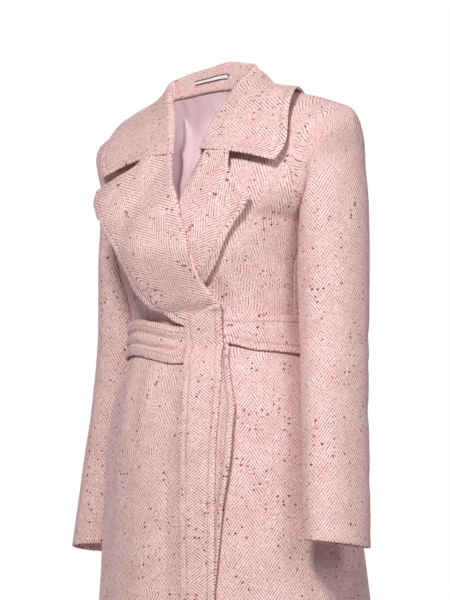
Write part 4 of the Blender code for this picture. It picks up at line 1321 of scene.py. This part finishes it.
@dataclass
class Belt(Assembly):
    """The belt round the waist and its two hanging ends."""

    rows: int = 31
    columns: int = 110
    ease: float = 0.0016
    crease: float = 0.0040
    ridges: int = 3
    roundness: float = 0.8
    step: float = 0.25  # the stretch of shares in which the belt comes down from the right front
    rear_crease: float = -0.5
    end_rows: int = 150
    end_columns: int = 18
    turn_columns: int = 9
    end_top: float = -0.350
    end_rise: float = 0.028
    end_foot: float = -0.850
    end_gap: float = 0.002
    end_tail: float = 0.012
    end_ease: float = 0.8
    end_side: float = 0.25
    roll: float = 0.0012
    back_levels: tuple[float, float] = (-0.800, -0.377)
    back_width: float = 0.036
    end_folds: tuple[Crease, ...] = (
        Crease((0.080, -0.700), (0.072, -0.850), 0.0060, 0.0012),
        Crease((0.052, -0.372), (0.058, -0.430), 0.0060, 0.0010),
        Crease((0.066, -0.350), (0.070, -0.400), 0.0060, -0.0009),
        Crease((0.060, -0.520), (0.063, -0.640), 0.0090, 0.0008),
    )

    def band_part(self, shares: Grid, half: Half) -> tuple[Grid, Grid]:
        """The belt on one half: rows across its width, over what it covers, with |sin| ridges along it.

        Args:
            shares: Shares of its stations.
            half: Front or back.

        Returns:
            Outer and inner points.
        """
        width = np.linspace(-0.5, 0.5, self.rows)[:, None]
        ridges = np.abs(np.sin(self.ridges * np.pi * (width + 0.5))) ** self.roundness
        if half is Skin.FRONT:
            level = BELT.at("level", shares) + BELT.at("width", shares) * width
            edge = Skin.front_share(Side.RIGHT, level)
            height = Skin.lap_height(level, shares) * (1 - smooth_step(edge, edge + self.step, shares))
            crease = BELT.at("crease", shares) * ridges
        else:
            side = np.array([-1.0])
            level = BELT.at("level", side) + BELT.at("width", side) * width + 0 * shares
            height = 0 * level
            crease = BELT.at("crease", side) * smooth_step(self.rear_crease, -1.0, shares) * ridges
        points, normals = Skin.at(half, level, shares + 0 * level)
        inner = points + normals * (height + self.ease)[..., None]
        return inner + normals * (FOLDED_WOOL + self.crease * crease)[..., None], inner

    def band(self) -> Cloth:
        """The belt round the waist. It creases along its length on the wearer's right.

        Returns:
            The cut piece.
        """
        front = self.band_part(np.linspace(-1, 1, self.columns)[None, :], Skin.FRONT)
        rear = self.band_part(np.linspace(1, -1, self.columns)[None, 1:-1], Skin.BACK)
        outer, inner = (np.concatenate(pair, axis=1) for pair in zip(front, rear))
        ring = wrapped(outer)
        around, up = arc_lengths(ring, 1, self.columns // 2), arc_lengths(ring, 0, self.rows // 2)
        edge = np.minimum(up - up[:1], up[-1:] - up)[:, :-1]
        rests = ("front_right", "front_left", "back")
        return Cloth("belt_band", outer, inner, around, up, rests, edge, closed=True)

    def front_end(self) -> Cloth:
        """The front end: it comes up behind the belt, folds over, and hangs down in front.

        Returns:
            The cut piece.
        """
        rise = np.linspace(0, 1, self.end_rows)[:, None] ** self.end_ease
        share = np.linspace(0, 1, self.end_columns)[None, :]
        level = self.end_foot + (self.end_top + self.end_rise * share - self.end_foot) * rise
        sides = (
            [FRONT_END.at(side + name, level) for side in ("left_", "right_")] for name in ("x", "height")
        )
        x, height = (left + (right - left) * share for left, right in sides)
        points, out = Skin.front(Side.RIGHT, level, Skin.share_at(level, x))
        inner = points + out * height[..., None]
        normals = grid_normals(inner)
        clear = smooth_step(0.0, self.end_side, share) * smooth_step(1.0, 1 - self.end_side, share)
        outer = creased(inner + normals * FOLDED_WOOL, normals, (x, level), self.end_folds)
        inner = inner + (outer - inner - normals * FOLDED_WOOL) * clear[..., None] * 0.5
        up = unit(inner[-1] - inner[-2])
        turned = turned_edge(inner[-1], -normals[-1], up, self.roll, self.turn_columns)
        outer, inner = (
            np.concatenate([face, np.swapaxes(turn, 0, 1)[1:], (turn[:, -1] - up * self.end_tail)[None]])
            for face, turn in zip((outer, inner), turned)
        )
        across, along = both_lengths(outer)
        edge = strap_edge(across, along)
        return Cloth("belt_end_front", outer, inner, along, across, ("belt_band",), edge, held="hung")

    def back_end(self) -> Cloth:
        """The other end, which hangs behind the first one and stands half on edge beside it.

        Returns:
            The cut piece.
        """
        rise = np.linspace(0, 1, self.end_rows)[:, None]
        low, high = self.back_levels
        level = low + (high - low) * rise
        free = BACK_END.at("right_x", level)
        bent = np.minimum(FRONT_END.at("right_x", level) + self.end_gap, free - self.end_gap)
        share = np.linspace(0, 1, self.end_columns // 2 + 1)[None, :]
        start = free - self.back_width
        x = np.concatenate([start + (bent - start) * share, bent + (free - bent) * share[:, 1:]], axis=1)
        ridge = BACK_END.at("ridge", level) * smooth_step(0, 1, (x - bent) / (free - bent))
        at_belt = Skin.share_at(np.array(WAIST), x)
        foot = BELT.at("level", at_belt) - BELT.at("width", at_belt) / 2
        level = low + (foot - 2 * self.end_gap - low) * rise
        points, normals = Skin.at(Skin.FRONT, level, Skin.share_at(level, x))
        inner = points + normals * (WOOL + LAP + self.ease + ridge)[..., None]
        outer = inner + grid_normals(inner) * FOLDED_WOOL
        across, along = both_lengths(outer)
        edge = strap_edge(across, along)
        return Cloth("belt_end_back", outer, inner, along, across, ("belt_band",), edge, held="hung")

    def pieces(self) -> list[Cloth]:
        """The belt and both its ends."""
        return [self.band(), self.front_end(), self.back_end()]


@dataclass
class Lining(Assembly):
    """The satin lining inside the back, where the neck opening shows it."""

    columns: int = 230
    rows: int = 100
    foot: float = -0.310
    width_steps: int = 20  # steps of the back's width, of which it leaves one bare on each side
    gap: float = 0.0015
    short: float = 0.08  # how far its top row stays below the seam, in rows
    # Folds in x and z, a ridge towards the wearer counted as a trough of the back.
    folds: tuple[Crease, ...] = (
        Crease((-0.050, -0.012), (-0.088, -0.037), 0.0024, -0.0046),
        Crease((-0.083, -0.032), (-0.113, -0.078), 0.0030, -0.0078),
        Crease((-0.108, -0.068), (-0.127, -0.124), 0.0030, -0.0078),
        Crease((-0.123, -0.112), (-0.144, -0.200), 0.0030, -0.0072),
        Crease((-0.072, -0.044), (-0.046, -0.020), 0.0030, -0.0022),
        Crease((-0.024, -0.016), (-0.032, -0.034), 0.0030, -0.0018),
        Crease((-0.058, -0.040), (-0.100, -0.180), 0.0120, -0.0030),
        Crease((0.034, -0.060), (0.040, -0.240), 0.0080, -0.0014),
        Crease((0.100, -0.060), (0.112, -0.230), 0.0050, -0.0026),
    )

    def lining(self) -> Cloth:
        """The lining, moved in from the back's inner face, with soft pressed lines down it.

        Returns:
            The cut piece, its outer face towards the back.
        """
        first, last = np.linspace(SIDE_SEAM, -SIDE_SEAM, self.width_steps + 1)[[1, -2]]
        share = np.linspace(first, last, self.columns)[None, :]
        rise = risen(np.linspace(self.foot, SHOULDER, self.rows)[:, None])
        rise[-1] += (rise[-2] - rise[-1]) * self.short
        face, normals = Skin.back(rise, share)
        outer = face - normals * (WOOL + self.gap)
        height = sum(crease.height(outer[..., 0], outer[..., 2]) for crease in self.folds)
        inner = outer - normals * (SATIN + np.maximum(height, -SATIN / 2))[..., None]
        return Cloth("lining", outer, inner, *both_lengths(inner), ("back",), finish=Finish.SATIN)

    def pieces(self) -> list[Cloth]:
        """The lining."""
        return [self.lining()]


class Graph:
    """Short ways to add and join shader nodes in one tree."""

    def __init__(self, tree: bpy.types.NodeTree) -> None:
        """Keeps the tree."""
        self.tree = tree

    def feed(self, node: bpy.types.Node, inputs: dict[Any, Any]) -> None:
        """Sets a node's inputs.

        Args:
            node: The node.
            inputs: For each input by name or number, a value or a socket to join to it.
        """
        for key, value in inputs.items():
            if isinstance(value, bpy.types.NodeSocket):
                self.tree.links.new(value, node.inputs[key])
            else:
                node.inputs[key].default_value = value

    def node(self, kind: str, inputs: dict[Any, Any] | None = None, **settings: Any) -> bpy.types.Node:
        """Adds a shader node.

        Args:
            kind: The node's type, without its first word.
            inputs: Its inputs, as feed takes them.
            settings: The node's own settings.

        Returns:
            The new node.
        """
        made = self.tree.nodes.new("ShaderNode" + kind)
        for key, value in settings.items():
            setattr(made, key, value)
        self.feed(made, inputs or {})
        return made

    def math(self, operation: str, *values: Any, clamp: bool = False) -> Socket:
        """A Math node's result."""
        return self.node("Math", dict(enumerate(values)), operation=operation, use_clamp=clamp).outputs[0]

    def vector(self, operation: str, inputs: dict[Any, Any]) -> Socket:
        """A Vector Math node's result."""
        return self.node("VectorMath", inputs, operation=operation).outputs[0]

    def band(self, value: Any, low: float, high: float, start: float = 0.0, end: float = 1.0) -> Socket:
        """A smooth step of a value between two limits.

        Args:
            value: The value.
            low: Where the step starts.
            high: Where it ends.
            start: The result at the start.
            end: The result at the end.

        Returns:
            The result.
        """
        inputs = {"Value": value, "From Min": low, "From Max": high, "To Min": start, "To Max": end}
        return self.node("MapRange", inputs, interpolation_type="SMOOTHSTEP").outputs["Result"]

    def mix(self, factor: Any, first: Any, second: Any, blend: str = "MIX") -> Socket:
        """A colour mix."""
        inputs = {0: factor, 6: first, 7: second}
        return self.node("Mix", inputs, data_type="RGBA", blend_type=blend).outputs[2]

    def shaded(self, colour: Any, tone: Any) -> Socket:
        """A colour times a tone."""
        grey = self.node("CombineColor", {0: tone, 1: tone, 2: tone}).outputs[0]
        return self.mix(1.0, colour, grey, "MULTIPLY")

    def noise(
        self, place: Any, scale: float, detail: float = 2.0, rough: float = 0.5, out: str = "Fac"
    ) -> Socket:
        """A noise texture with so many grains to the metre."""
        inputs = {"Vector": place, "Scale": scale, "Detail": detail, "Roughness": rough}
        return self.node("TexNoise", inputs).outputs[out]

    def strayed(self, place: Any, offset: Any, amount: float) -> Socket:
        """A place moved by an offset times an amount in metres."""
        return self.vector("ADD", {0: place, 1: self.vector("SCALE", {0: offset, "Scale": amount})})

    def uv(self, title: str) -> Socket:
        """One of the piece's UV maps."""
        return self.node("UVMap", uv_map=title).outputs[0]

    def bump(self, height: Any, strength: float) -> Socket:
        """The normal of a relief in metres."""
        return self.node("Bump", {"Height": height, "Distance": 1.0, "Strength": strength}).outputs[0]


def new_group(title: str, values: Sequence[str], results: Sequence[str]) -> tuple[Graph, bpy.types.Node]:
    """Starts a node group that reads a map and gives values.

    Args:
        title: The group's name.
        values: Names of its number inputs, after the map's own, Vector.
        results: Names of its outputs.

    Returns:
        Its graph and its input node.
    """
    tree = bpy.data.node_groups.new(title, "ShaderNodeTree")
    tree.interface.new_socket("Vector", in_out="INPUT", socket_type="NodeSocketVector")
    for name in values:
        tree.interface.new_socket(name, in_out="INPUT", socket_type="NodeSocketFloat")
    for name in results:
        tree.interface.new_socket(name, in_out="OUTPUT", socket_type="NodeSocketFloat")
    return Graph(tree), tree.nodes.new("NodeGroupInput")


def new_material(title: str) -> tuple[bpy.types.Material, Graph, bpy.types.Node]:
    """Starts a material.

    Args:
        title: Its name.

    Returns:
        The material, its graph and its Principled node.
    """
    made = bpy.data.materials.new(title)
    made.use_nodes = True
    return made, Graph(made.node_tree), made.node_tree.nodes["Principled BSDF"]


@dataclass(frozen=True)
class Herringbone:
    """The weave as a group: light strokes that slant up and down in turn from column to column, in metres.

    With x = across / column, the slant follows pingpong(x, 1), each next column starts half a rib later, and
    a stroke is dark where the rib's own share is near its end.
    """

    column: float = 0.0215
    rib: float = 0.0060
    slope: float = 1.43
    light: float = 0.66
    sway: tuple[float, float] = (70.0, 0.0022)  # grains to the metre, and how far they move the yarn
    tremble: tuple[float, float] = (420.0, 0.0008)
    uneven: tuple[float, float] = (240.0, 0.55)  # grains to the metre, and how much they widen a stroke
    stroke_edge: tuple[float, float] = (-0.22, 0.26)
    relief_edge: tuple[float, float] = (-0.2, 0.4)
    relief_floor: float = 0.25
    column_seed: float = 17.3

    def group(self) -> bpy.types.NodeTree:
        """Makes the group.

        Returns:
            The group, with the map and the light strokes' share of a rib as inputs, and the stroke mask, its
            height and a random value for each yarn as outputs.
        """
        graph, source = new_group("herringbone weave", ("Light Share",), ("Stroke", "Height", "Yarn"))
        cloth = place = source.outputs["Vector"]
        for grains, amount in (self.sway, self.tremble):
            grain = graph.noise(cloth, grains, out="Color")
            place = graph.strayed(place, graph.vector("SUBTRACT", {0: grain, 1: (0.5, 0.5, 0.5)}), amount)
        parts = graph.node("SeparateXYZ", {0: place}).outputs
        x = graph.math("DIVIDE", parts[0], self.column)
        slant = graph.math("PINGPONG", x, 1.0)
        parity = graph.math("FLOORED_MODULO", graph.math("FLOOR", x), 2.0)
        phase = graph.math("DIVIDE", parts[1], self.rib)
        phase = graph.math("MULTIPLY_ADD", slant, self.slope * self.column / self.rib, phase)
        phase = graph.math("MULTIPLY_ADD", parity, 0.5, phase)
        saw = graph.math("FLOORED_MODULO", phase, 1.0)
        near = graph.math("MULTIPLY", graph.math("ABSOLUTE", graph.math("SUBTRACT", saw, 0.5)), 2.0)
        grain = graph.math("SUBTRACT", graph.noise(cloth, self.uneven[0], 1.0), 0.5)
        limit = graph.math("MULTIPLY_ADD", grain, self.uneven[1], source.outputs["Light Share"])
        side = graph.math("SUBTRACT", near, limit)
        seed = graph.math("MULTIPLY", graph.math("FLOOR", x), self.column_seed)
        seed = graph.math("ADD", graph.math("FLOOR", phase), seed)
        rounded = graph.math("SQRT", graph.math("MAXIMUM", graph.math("SUBTRACT", 1.0, near), 0.0))
        slope = graph.band(side, *self.relief_edge, 1.0, self.relief_floor)
        results = graph.tree.nodes.new("NodeGroupOutput")
        graph.feed(results, {
            "Stroke": graph.band(side, *self.stroke_edge, 1.0, 0.0),
            "Height": graph.math("MULTIPLY", rounded, slope),
            "Yarn": graph.node("TexWhiteNoise", {"W": seed}, noise_dimensions="1D").outputs["Value"],
        })
        return graph.tree


@dataclass(frozen=True)
class Flecks:
    """Small neps in the yarn as a group: in some cells of a scatter, a spot round the cell's own point."""

    cell: float = 0.0082
    ragged: tuple[float, float] = (900.0, 0.0024)  # grains to the metre, and how far they move a spot's edge
    spot: tuple[float, float] = (0.35, 0.8)  # the least radius and what it can add, in sizes
    # Each kind's cells to a cell's width, how rare its neps are, and their size in cells.
    kinds: tuple[tuple[str, float, float, float], ...] = (
        ("Dark", 1.0, 0.870, 0.180), ("Red", 0.95, 0.930, 0.200), ("Pale", 0.83, 0.82, 0.20)
    )

    def group(self) -> bpy.types.NodeTree:
        """Makes the group.

        Returns:
            The group, with the map as its input, and a mask of the dark, red and pale neps as outputs.
        """
        graph, source = new_group("tweed flecks", (), [kind[0] for kind in self.kinds])
        cloth = source.outputs["Vector"]
        place = graph.strayed(cloth, graph.noise(cloth, self.ragged[0], 1.0, out="Color"), self.ragged[1])
        results = graph.tree.nodes.new("NodeGroupOutput")
        for title, spread, rarity, size in self.kinds:
            inputs = {"Vector": place, "Scale": spread / self.cell}
            scatter = graph.node("TexVoronoi", inputs, voronoi_dimensions="2D").outputs
            parts = graph.node("SeparateColor", {0: scatter["Color"]}).outputs
            chosen = graph.math("GREATER_THAN", parts[0], rarity)
            radius = graph.math("MULTIPLY_ADD", parts[1], size * self.spot[1], size * self.spot[0])
            spot = graph.math("LESS_THAN", scatter["Distance"], radius)
            graph.feed(results, {title: graph.math("MULTIPLY", chosen, spot)})
        return graph.tree


@dataclass(frozen=True)
class Tweed:
    """The coating: pale rose strokes between thin dusty mauve lines, with neps and a soft nap."""

    pale: Colour = (0.930, 0.690, 0.672, 1.0)
    pale_two: Colour = (0.830, 0.560, 0.540, 1.0)
    dusk: Colour = (0.300, 0.112, 0.128, 1.0)
    # The neps' colours, and how far each hides the weave.
    neps: tuple[tuple[str, Colour, float], ...] = (
        ("Pale", (0.900, 0.780, 0.730, 1.0), 0.65),
        ("Red", (0.340, 0.045, 0.075, 1.0), 0.88),
        ("Dark", (0.060, 0.018, 0.026, 1.0), 0.93),
    )
    # Grains to the metre: of the nap, of its slow shifts in tone, of the lumps, and of where the lines grow
    # faint.
    nap: float = 650.0
    patches: float = 26.0
    lumps: float = 60.0
    faint: float = 130.0
    broken: float = 520.0
    yarn_tone: float = 0.55
    tone: float = 0.62
    nap_rough: float = 0.75
    patch_edge: tuple[float, float] = (0.3, 0.7)
    faint_band: Band = (0.30, 0.62, 0.55, 1.0)
    broken_band: Band = (0.36, 0.58, 0.30, 1.15)
    mottle: Band = (0.28, 0.72, 0.72, 1.16)
    roughness: Band = (0.0, 1.0, 0.96, 0.86)
    specular: float = 0.25
    sheen: float = 0.22
    sheen_rough: float = 0.45
    sheen_tint: Colour = (1.0, 0.90, 0.88, 1.0)
    stitch_inset: float = 0.0088
    stitch_width: tuple[float, float] = (0.0004, 0.0022)
    # How far painted shade darkens the stitched groove towards the dusk colour.
    groove_painted_shade: float = 0.20
    # Heights in metres of the strokes, the nap, the stitched line and the lumps.
    relief: tuple[float, float, float, float] = (0.00022, 0.00034, -0.00075, 0.00060)
    bump: float = 0.85

    def material(self) -> bpy.types.Material:
        """Makes the material: the weave on the cloth map, painted shade in the stitched groove on the edge
        map.

        Returns:
            The tweed.
        """
        made, graph, shader = new_material("rose herringbone tweed")
        cloth, edge = graph.uv("cloth"), graph.uv("edge")
        bone = Herringbone()
        inputs = {"Vector": cloth, "Light Share": bone.light}
        weave = graph.node("Group", inputs, node_tree=bone.group()).outputs
        flecks = graph.node("Group", {"Vector": cloth}, node_tree=Flecks().group()).outputs
        fuzz = graph.noise(cloth, self.nap, 3.0, self.nap_rough)
        yarn = graph.math("SUBTRACT", weave["Yarn"], 0.5)
        patch = graph.band(graph.noise(cloth, self.patches), *self.patch_edge)
        tone = graph.math("MULTIPLY_ADD", yarn, self.yarn_tone, patch)
        light = graph.mix(graph.math("MULTIPLY", tone, self.tone, clamp=True), self.pale, self.pale_two)
        faint = graph.band(graph.noise(cloth, self.faint), *self.faint_band)
        broken = graph.band(graph.noise(cloth, self.broken, 1.0), *self.broken_band)
        line = graph.math("SUBTRACT", 1.0, weave["Stroke"])
        line = graph.math("MULTIPLY", line, graph.math("MULTIPLY", faint, broken))
        colour = graph.mix(line, light, self.dusk)
        for title, nep, cover in self.neps:
            colour = graph.mix(graph.math("MULTIPLY", flecks[title], cover), colour, nep)
        colour = graph.shaded(colour, graph.band(fuzz, *self.mottle))
        inset = graph.node("SeparateXYZ", {0: edge}).outputs[0]
        aside = graph.math("ABSOLUTE", graph.math("SUBTRACT", inset, self.stitch_inset))
        groove = graph.band(aside, *self.stitch_width, 1.0, 0.0)
        # Painted shade: the colour darkens towards the dusk colour along the stitched groove.
        colour = graph.mix(graph.math("MULTIPLY", groove, self.groove_painted_shade), colour, self.dusk)
        height = graph.math("MULTIPLY", weave["Height"], self.relief[0])
        for part, depth in zip((fuzz, groove, graph.noise(cloth, self.lumps)), self.relief[1:]):
            height = graph.math("MULTIPLY_ADD", part, depth, height)
        graph.feed(shader, {
            "Base Color": colour,
            "Roughness": graph.band(weave["Stroke"], *self.roughness),
            "Normal": graph.bump(height, self.bump),
            "Specular IOR Level": self.specular,
            "Sheen Weight": self.sheen,
            "Sheen Roughness": self.sheen_rough,
            "Sheen Tint": self.sheen_tint,
        })
        return made


@dataclass(frozen=True)
class SatinCloth:
    """The lining: a lilac satin with fine warp lines and soft shifts of tone."""

    lilac: Colour = (0.880, 0.770, 0.820, 1.0)
    rose: Colour = (0.740, 0.550, 0.600, 1.0)
    # Grains to the metre, across and along, of the shifts and of the warp.
    shifts: tuple[float, float, float] = (30.0, 5.0, 1.0)
    warp: tuple[float, float, float] = (3000.0, 160.0, 1.0)
    warp_relief: float = 0.00005
    shift_relief: float = 0.0012
    shift_edge: tuple[float, float] = (0.28, 0.72)
    shade: Band = (0.3, 0.7, 0.94, 1.05)
    roughness: Band = (0.2, 0.8, 0.36, 0.48)
    bump: float = 0.6
    sheen: float = 0.15

    def material(self) -> bpy.types.Material:
        """Makes the material on the cloth map.

        Returns:
            The satin.
        """
        made, graph, shader = new_material("lilac satin")
        cloth = graph.uv("cloth")
        slow, warp = (
            graph.noise(graph.node("Mapping", {"Vector": cloth, "Scale": scale}).outputs[0], 1.0)
            for scale in (self.shifts, self.warp)
        )
        colour = graph.mix(graph.band(slow, *self.shift_edge), self.rose, self.lilac)
        height = graph.math("MULTIPLY", warp, self.warp_relief)
        height = graph.math("MULTIPLY_ADD", slow, self.shift_relief, height)
        graph.feed(shader, {
            "Base Color": graph.shaded(colour, graph.band(warp, *self.shade)),
            "Roughness": graph.band(slow, *self.roughness),
            "Normal": graph.bump(height, self.bump),
            "Sheen Weight": self.sheen,
        })
        return made


@dataclass(frozen=True)
class Tape:
    """The bare label: a white woven tape with a thin dark line along each long edge."""

    white: Colour = (0.860, 0.780, 0.770, 1.0)
    shadow: Colour = (0.70, 0.60, 0.60, 1.0)
    line: Colour = (0.080, 0.040, 0.045, 1.0)
    line_edge: tuple[float, float] = (0.0013, 0.0021)
    line_cover: float = 0.95
    ribs: float = 420.0
    rib_relief: float = 0.0001
    rib_waver: float = 0.6
    rib_shade: float = 0.35
    grain: float = 1400.0
    roughness: Band = (0.2, 0.8, 0.62, 0.78)

    def material(self) -> bpy.types.Material:
        """Makes the material: lines by the distance from the edge, fine ribs across.

        Returns:
            The tape.
        """
        made, graph, shader = new_material("white label tape")
        cloth, edge = graph.uv("cloth"), graph.uv("edge")
        near = graph.band(graph.node("SeparateXYZ", {0: edge}).outputs[0], *self.line_edge, 1.0, 0.0)
        inputs = {"Vector": cloth, "Scale": self.ribs, "Distortion": self.rib_waver}
        ribs = graph.node("TexWave", inputs, bands_direction="Y").outputs["Fac"]
        grain = graph.noise(cloth, self.grain)
        shade = graph.math("MULTIPLY", graph.math("MULTIPLY", ribs, grain), self.rib_shade)
        colour = graph.mix(shade, self.white, self.shadow)
        colour = graph.mix(graph.math("MULTIPLY", near, self.line_cover), colour, self.line)
        graph.feed(shader, {
            "Base Color": colour,
            "Roughness": graph.band(grain, *self.roughness),
            "Normal": graph.bump(graph.math("MULTIPLY", ribs, self.rib_relief), 0.5),
        })
        return made


def aimed(place: Sequence[float], way: Vector) -> Matrix:
    """Where a lamp or camera stands that looks along a way."""
    return Matrix.Translation(place) @ way.to_track_quat("-Z", "Y").to_matrix().to_4x4()


@dataclass(frozen=True)
class Lamp:
    """An unseen square soft box: where it stands, its side, its power in watts and what it is aimed at."""

    name: str
    place: tuple[float, float, float]
    size: float
    power: float
    target: tuple[float, float, float] = (0.0, 0.0, -0.45)

    def build(self) -> None:
        """Makes the lamp."""
        data = bpy.data.lights.new(self.name, "AREA")
        data.shape, data.size, data.energy = "SQUARE", self.size, self.power
        lamp = add_object(self.name, data)
        lamp.visible_camera = False
        lamp.matrix_world = aimed(self.place, Vector(self.target) - Vector(self.place))


@dataclass
class Studio:
    """A pale floor, soft light and the camera."""

    azimuth: float = 38.0
    distance: float = 3.45
    height: float = -0.70
    pitch: float = 6.56
    lens: float = 148.8
    sensor: float = 36.0
    aside: float = math.atan(11.0 / 2480.0)
    floor_level: float = -1.42
    floor_size: float = 80.0
    floor_points: int = 9
    floor_tones: tuple[Colour, Colour] = ((0.46, 0.46, 0.46, 1.0), (0.50, 0.50, 0.50, 1.0))
    floor_rough: float = 0.9
    # The floor's glow as it is seen, and the backdrop's strength and tint as light.
    floor_glow: Colour = (0.74, 0.74, 0.74, 1.0)
    ambient: float = 0.145
    ambient_tint: Colour = (1.0, 0.62, 0.58, 1.0)
    lamps: tuple[Lamp, ...] = (
        Lamp("key", (1.35, -2.60, 1.30), 0.50, 94.0),
        Lamp("fill", (3.1, -1.0, 0.6), 1.4, 30.0),
        Lamp("rear", (-2.0, 3.0, 1.3), 2.4, 165.0),
        Lamp("side", (-3.2, -1.2, 0.6), 2.0, 8.0),
        Lamp("neck", (0.04, -0.01, -0.13), 0.05, 0.16, (-0.12, 0.08, -0.10)),
    )

    def camera(self) -> None:
        """Puts the camera at its azimuth, turned a little aside and up."""
        angle, pitch = math.radians(self.azimuth), math.radians(self.pitch)
        data = bpy.data.cameras.new("camera")
        data.lens, data.sensor_width, data.sensor_fit = self.lens, self.sensor, "AUTO"
        way = Vector((-math.sin(angle), math.cos(angle), 0)) * math.cos(self.aside)
        way += Vector((math.cos(angle), math.sin(angle), 0)) * math.sin(self.aside)
        way = way * math.cos(pitch) + Vector((0, 0, 1)) * math.sin(pitch)
        camera = add_object("camera", data)
        place = (self.distance * math.sin(angle), -self.distance * math.cos(angle), self.height)
        camera.matrix_world = aimed(place, way)
        bpy.context.scene.camera = camera

    def floor(self) -> None:
        """A wide pale floor with a slight grain."""
        side = np.linspace(-0.5, 0.5, self.floor_points) * self.floor_size
        x, y = np.meshgrid(side, side)
        points = np.stack([x, y, 0 * x + self.floor_level], axis=-1)
        faces, _ = Cloth.quads(np.arange(x.size).reshape(x.shape), points)
        mesh = bpy.data.meshes.new("floor")
        mesh.from_pydata(points.reshape(-1, 3).tolist(), [], faces.tolist())
        made, graph, shader = new_material("pale floor")
        grain = graph.noise(graph.node("TexCoord").outputs["Object"], 3.0, 4.0)
        seen = graph.node("LightPath").outputs["Is Camera Ray"]
        graph.feed(shader, {
            "Base Color": graph.mix(grain, *self.floor_tones),
            "Emission Color": graph.mix(seen, (0.0, 0.0, 0.0, 1.0), self.floor_glow),
            "Emission Strength": 1.0,
            "Roughness": self.floor_rough,
        })
        mesh.materials.append(made)
        add_object("floor", mesh)

    def world(self) -> None:
        """A white backdrop that gives less light than it shows."""
        world = bpy.data.worlds.new("studio")
        bpy.context.scene.world = world
        world.use_nodes = True
        graph = Graph(world.node_tree)
        seen = graph.node("LightPath").outputs["Is Camera Ray"]
        graph.feed(world.node_tree.nodes["Background"], {
            "Color": graph.mix(seen, self.ambient_tint, (1.0, 1.0, 1.0, 1.0)),
            "Strength": graph.math("MULTIPLY_ADD", seen, 1.0 - self.ambient, self.ambient),
        })
        bpy.context.scene.view_settings.view_transform = "Standard"

    def build(self) -> None:
        """Makes the camera, the floor, the backdrop and the lamps."""
        self.camera()
        self.floor()
        self.world()
        for lamp in self.lamps:
            lamp.build()


def main() -> None:
    """Dresses the coat and sets the scene."""
    logging.basicConfig(level=logging.INFO, format="%(name)s: %(message)s")
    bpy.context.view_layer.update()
    finishes = {
        Finish.TWEED: Tweed().material(),
        Finish.SATIN: SatinCloth().material(),
        Finish.TAPE: Tape().material(),
    }
    Studio().build()
    for assembly in (Body(), Lapels(), Collar(), Sleeves(), Belt(), Lining()):
        assembly.build(finishes)


if __name__ == "__main__":
    main()
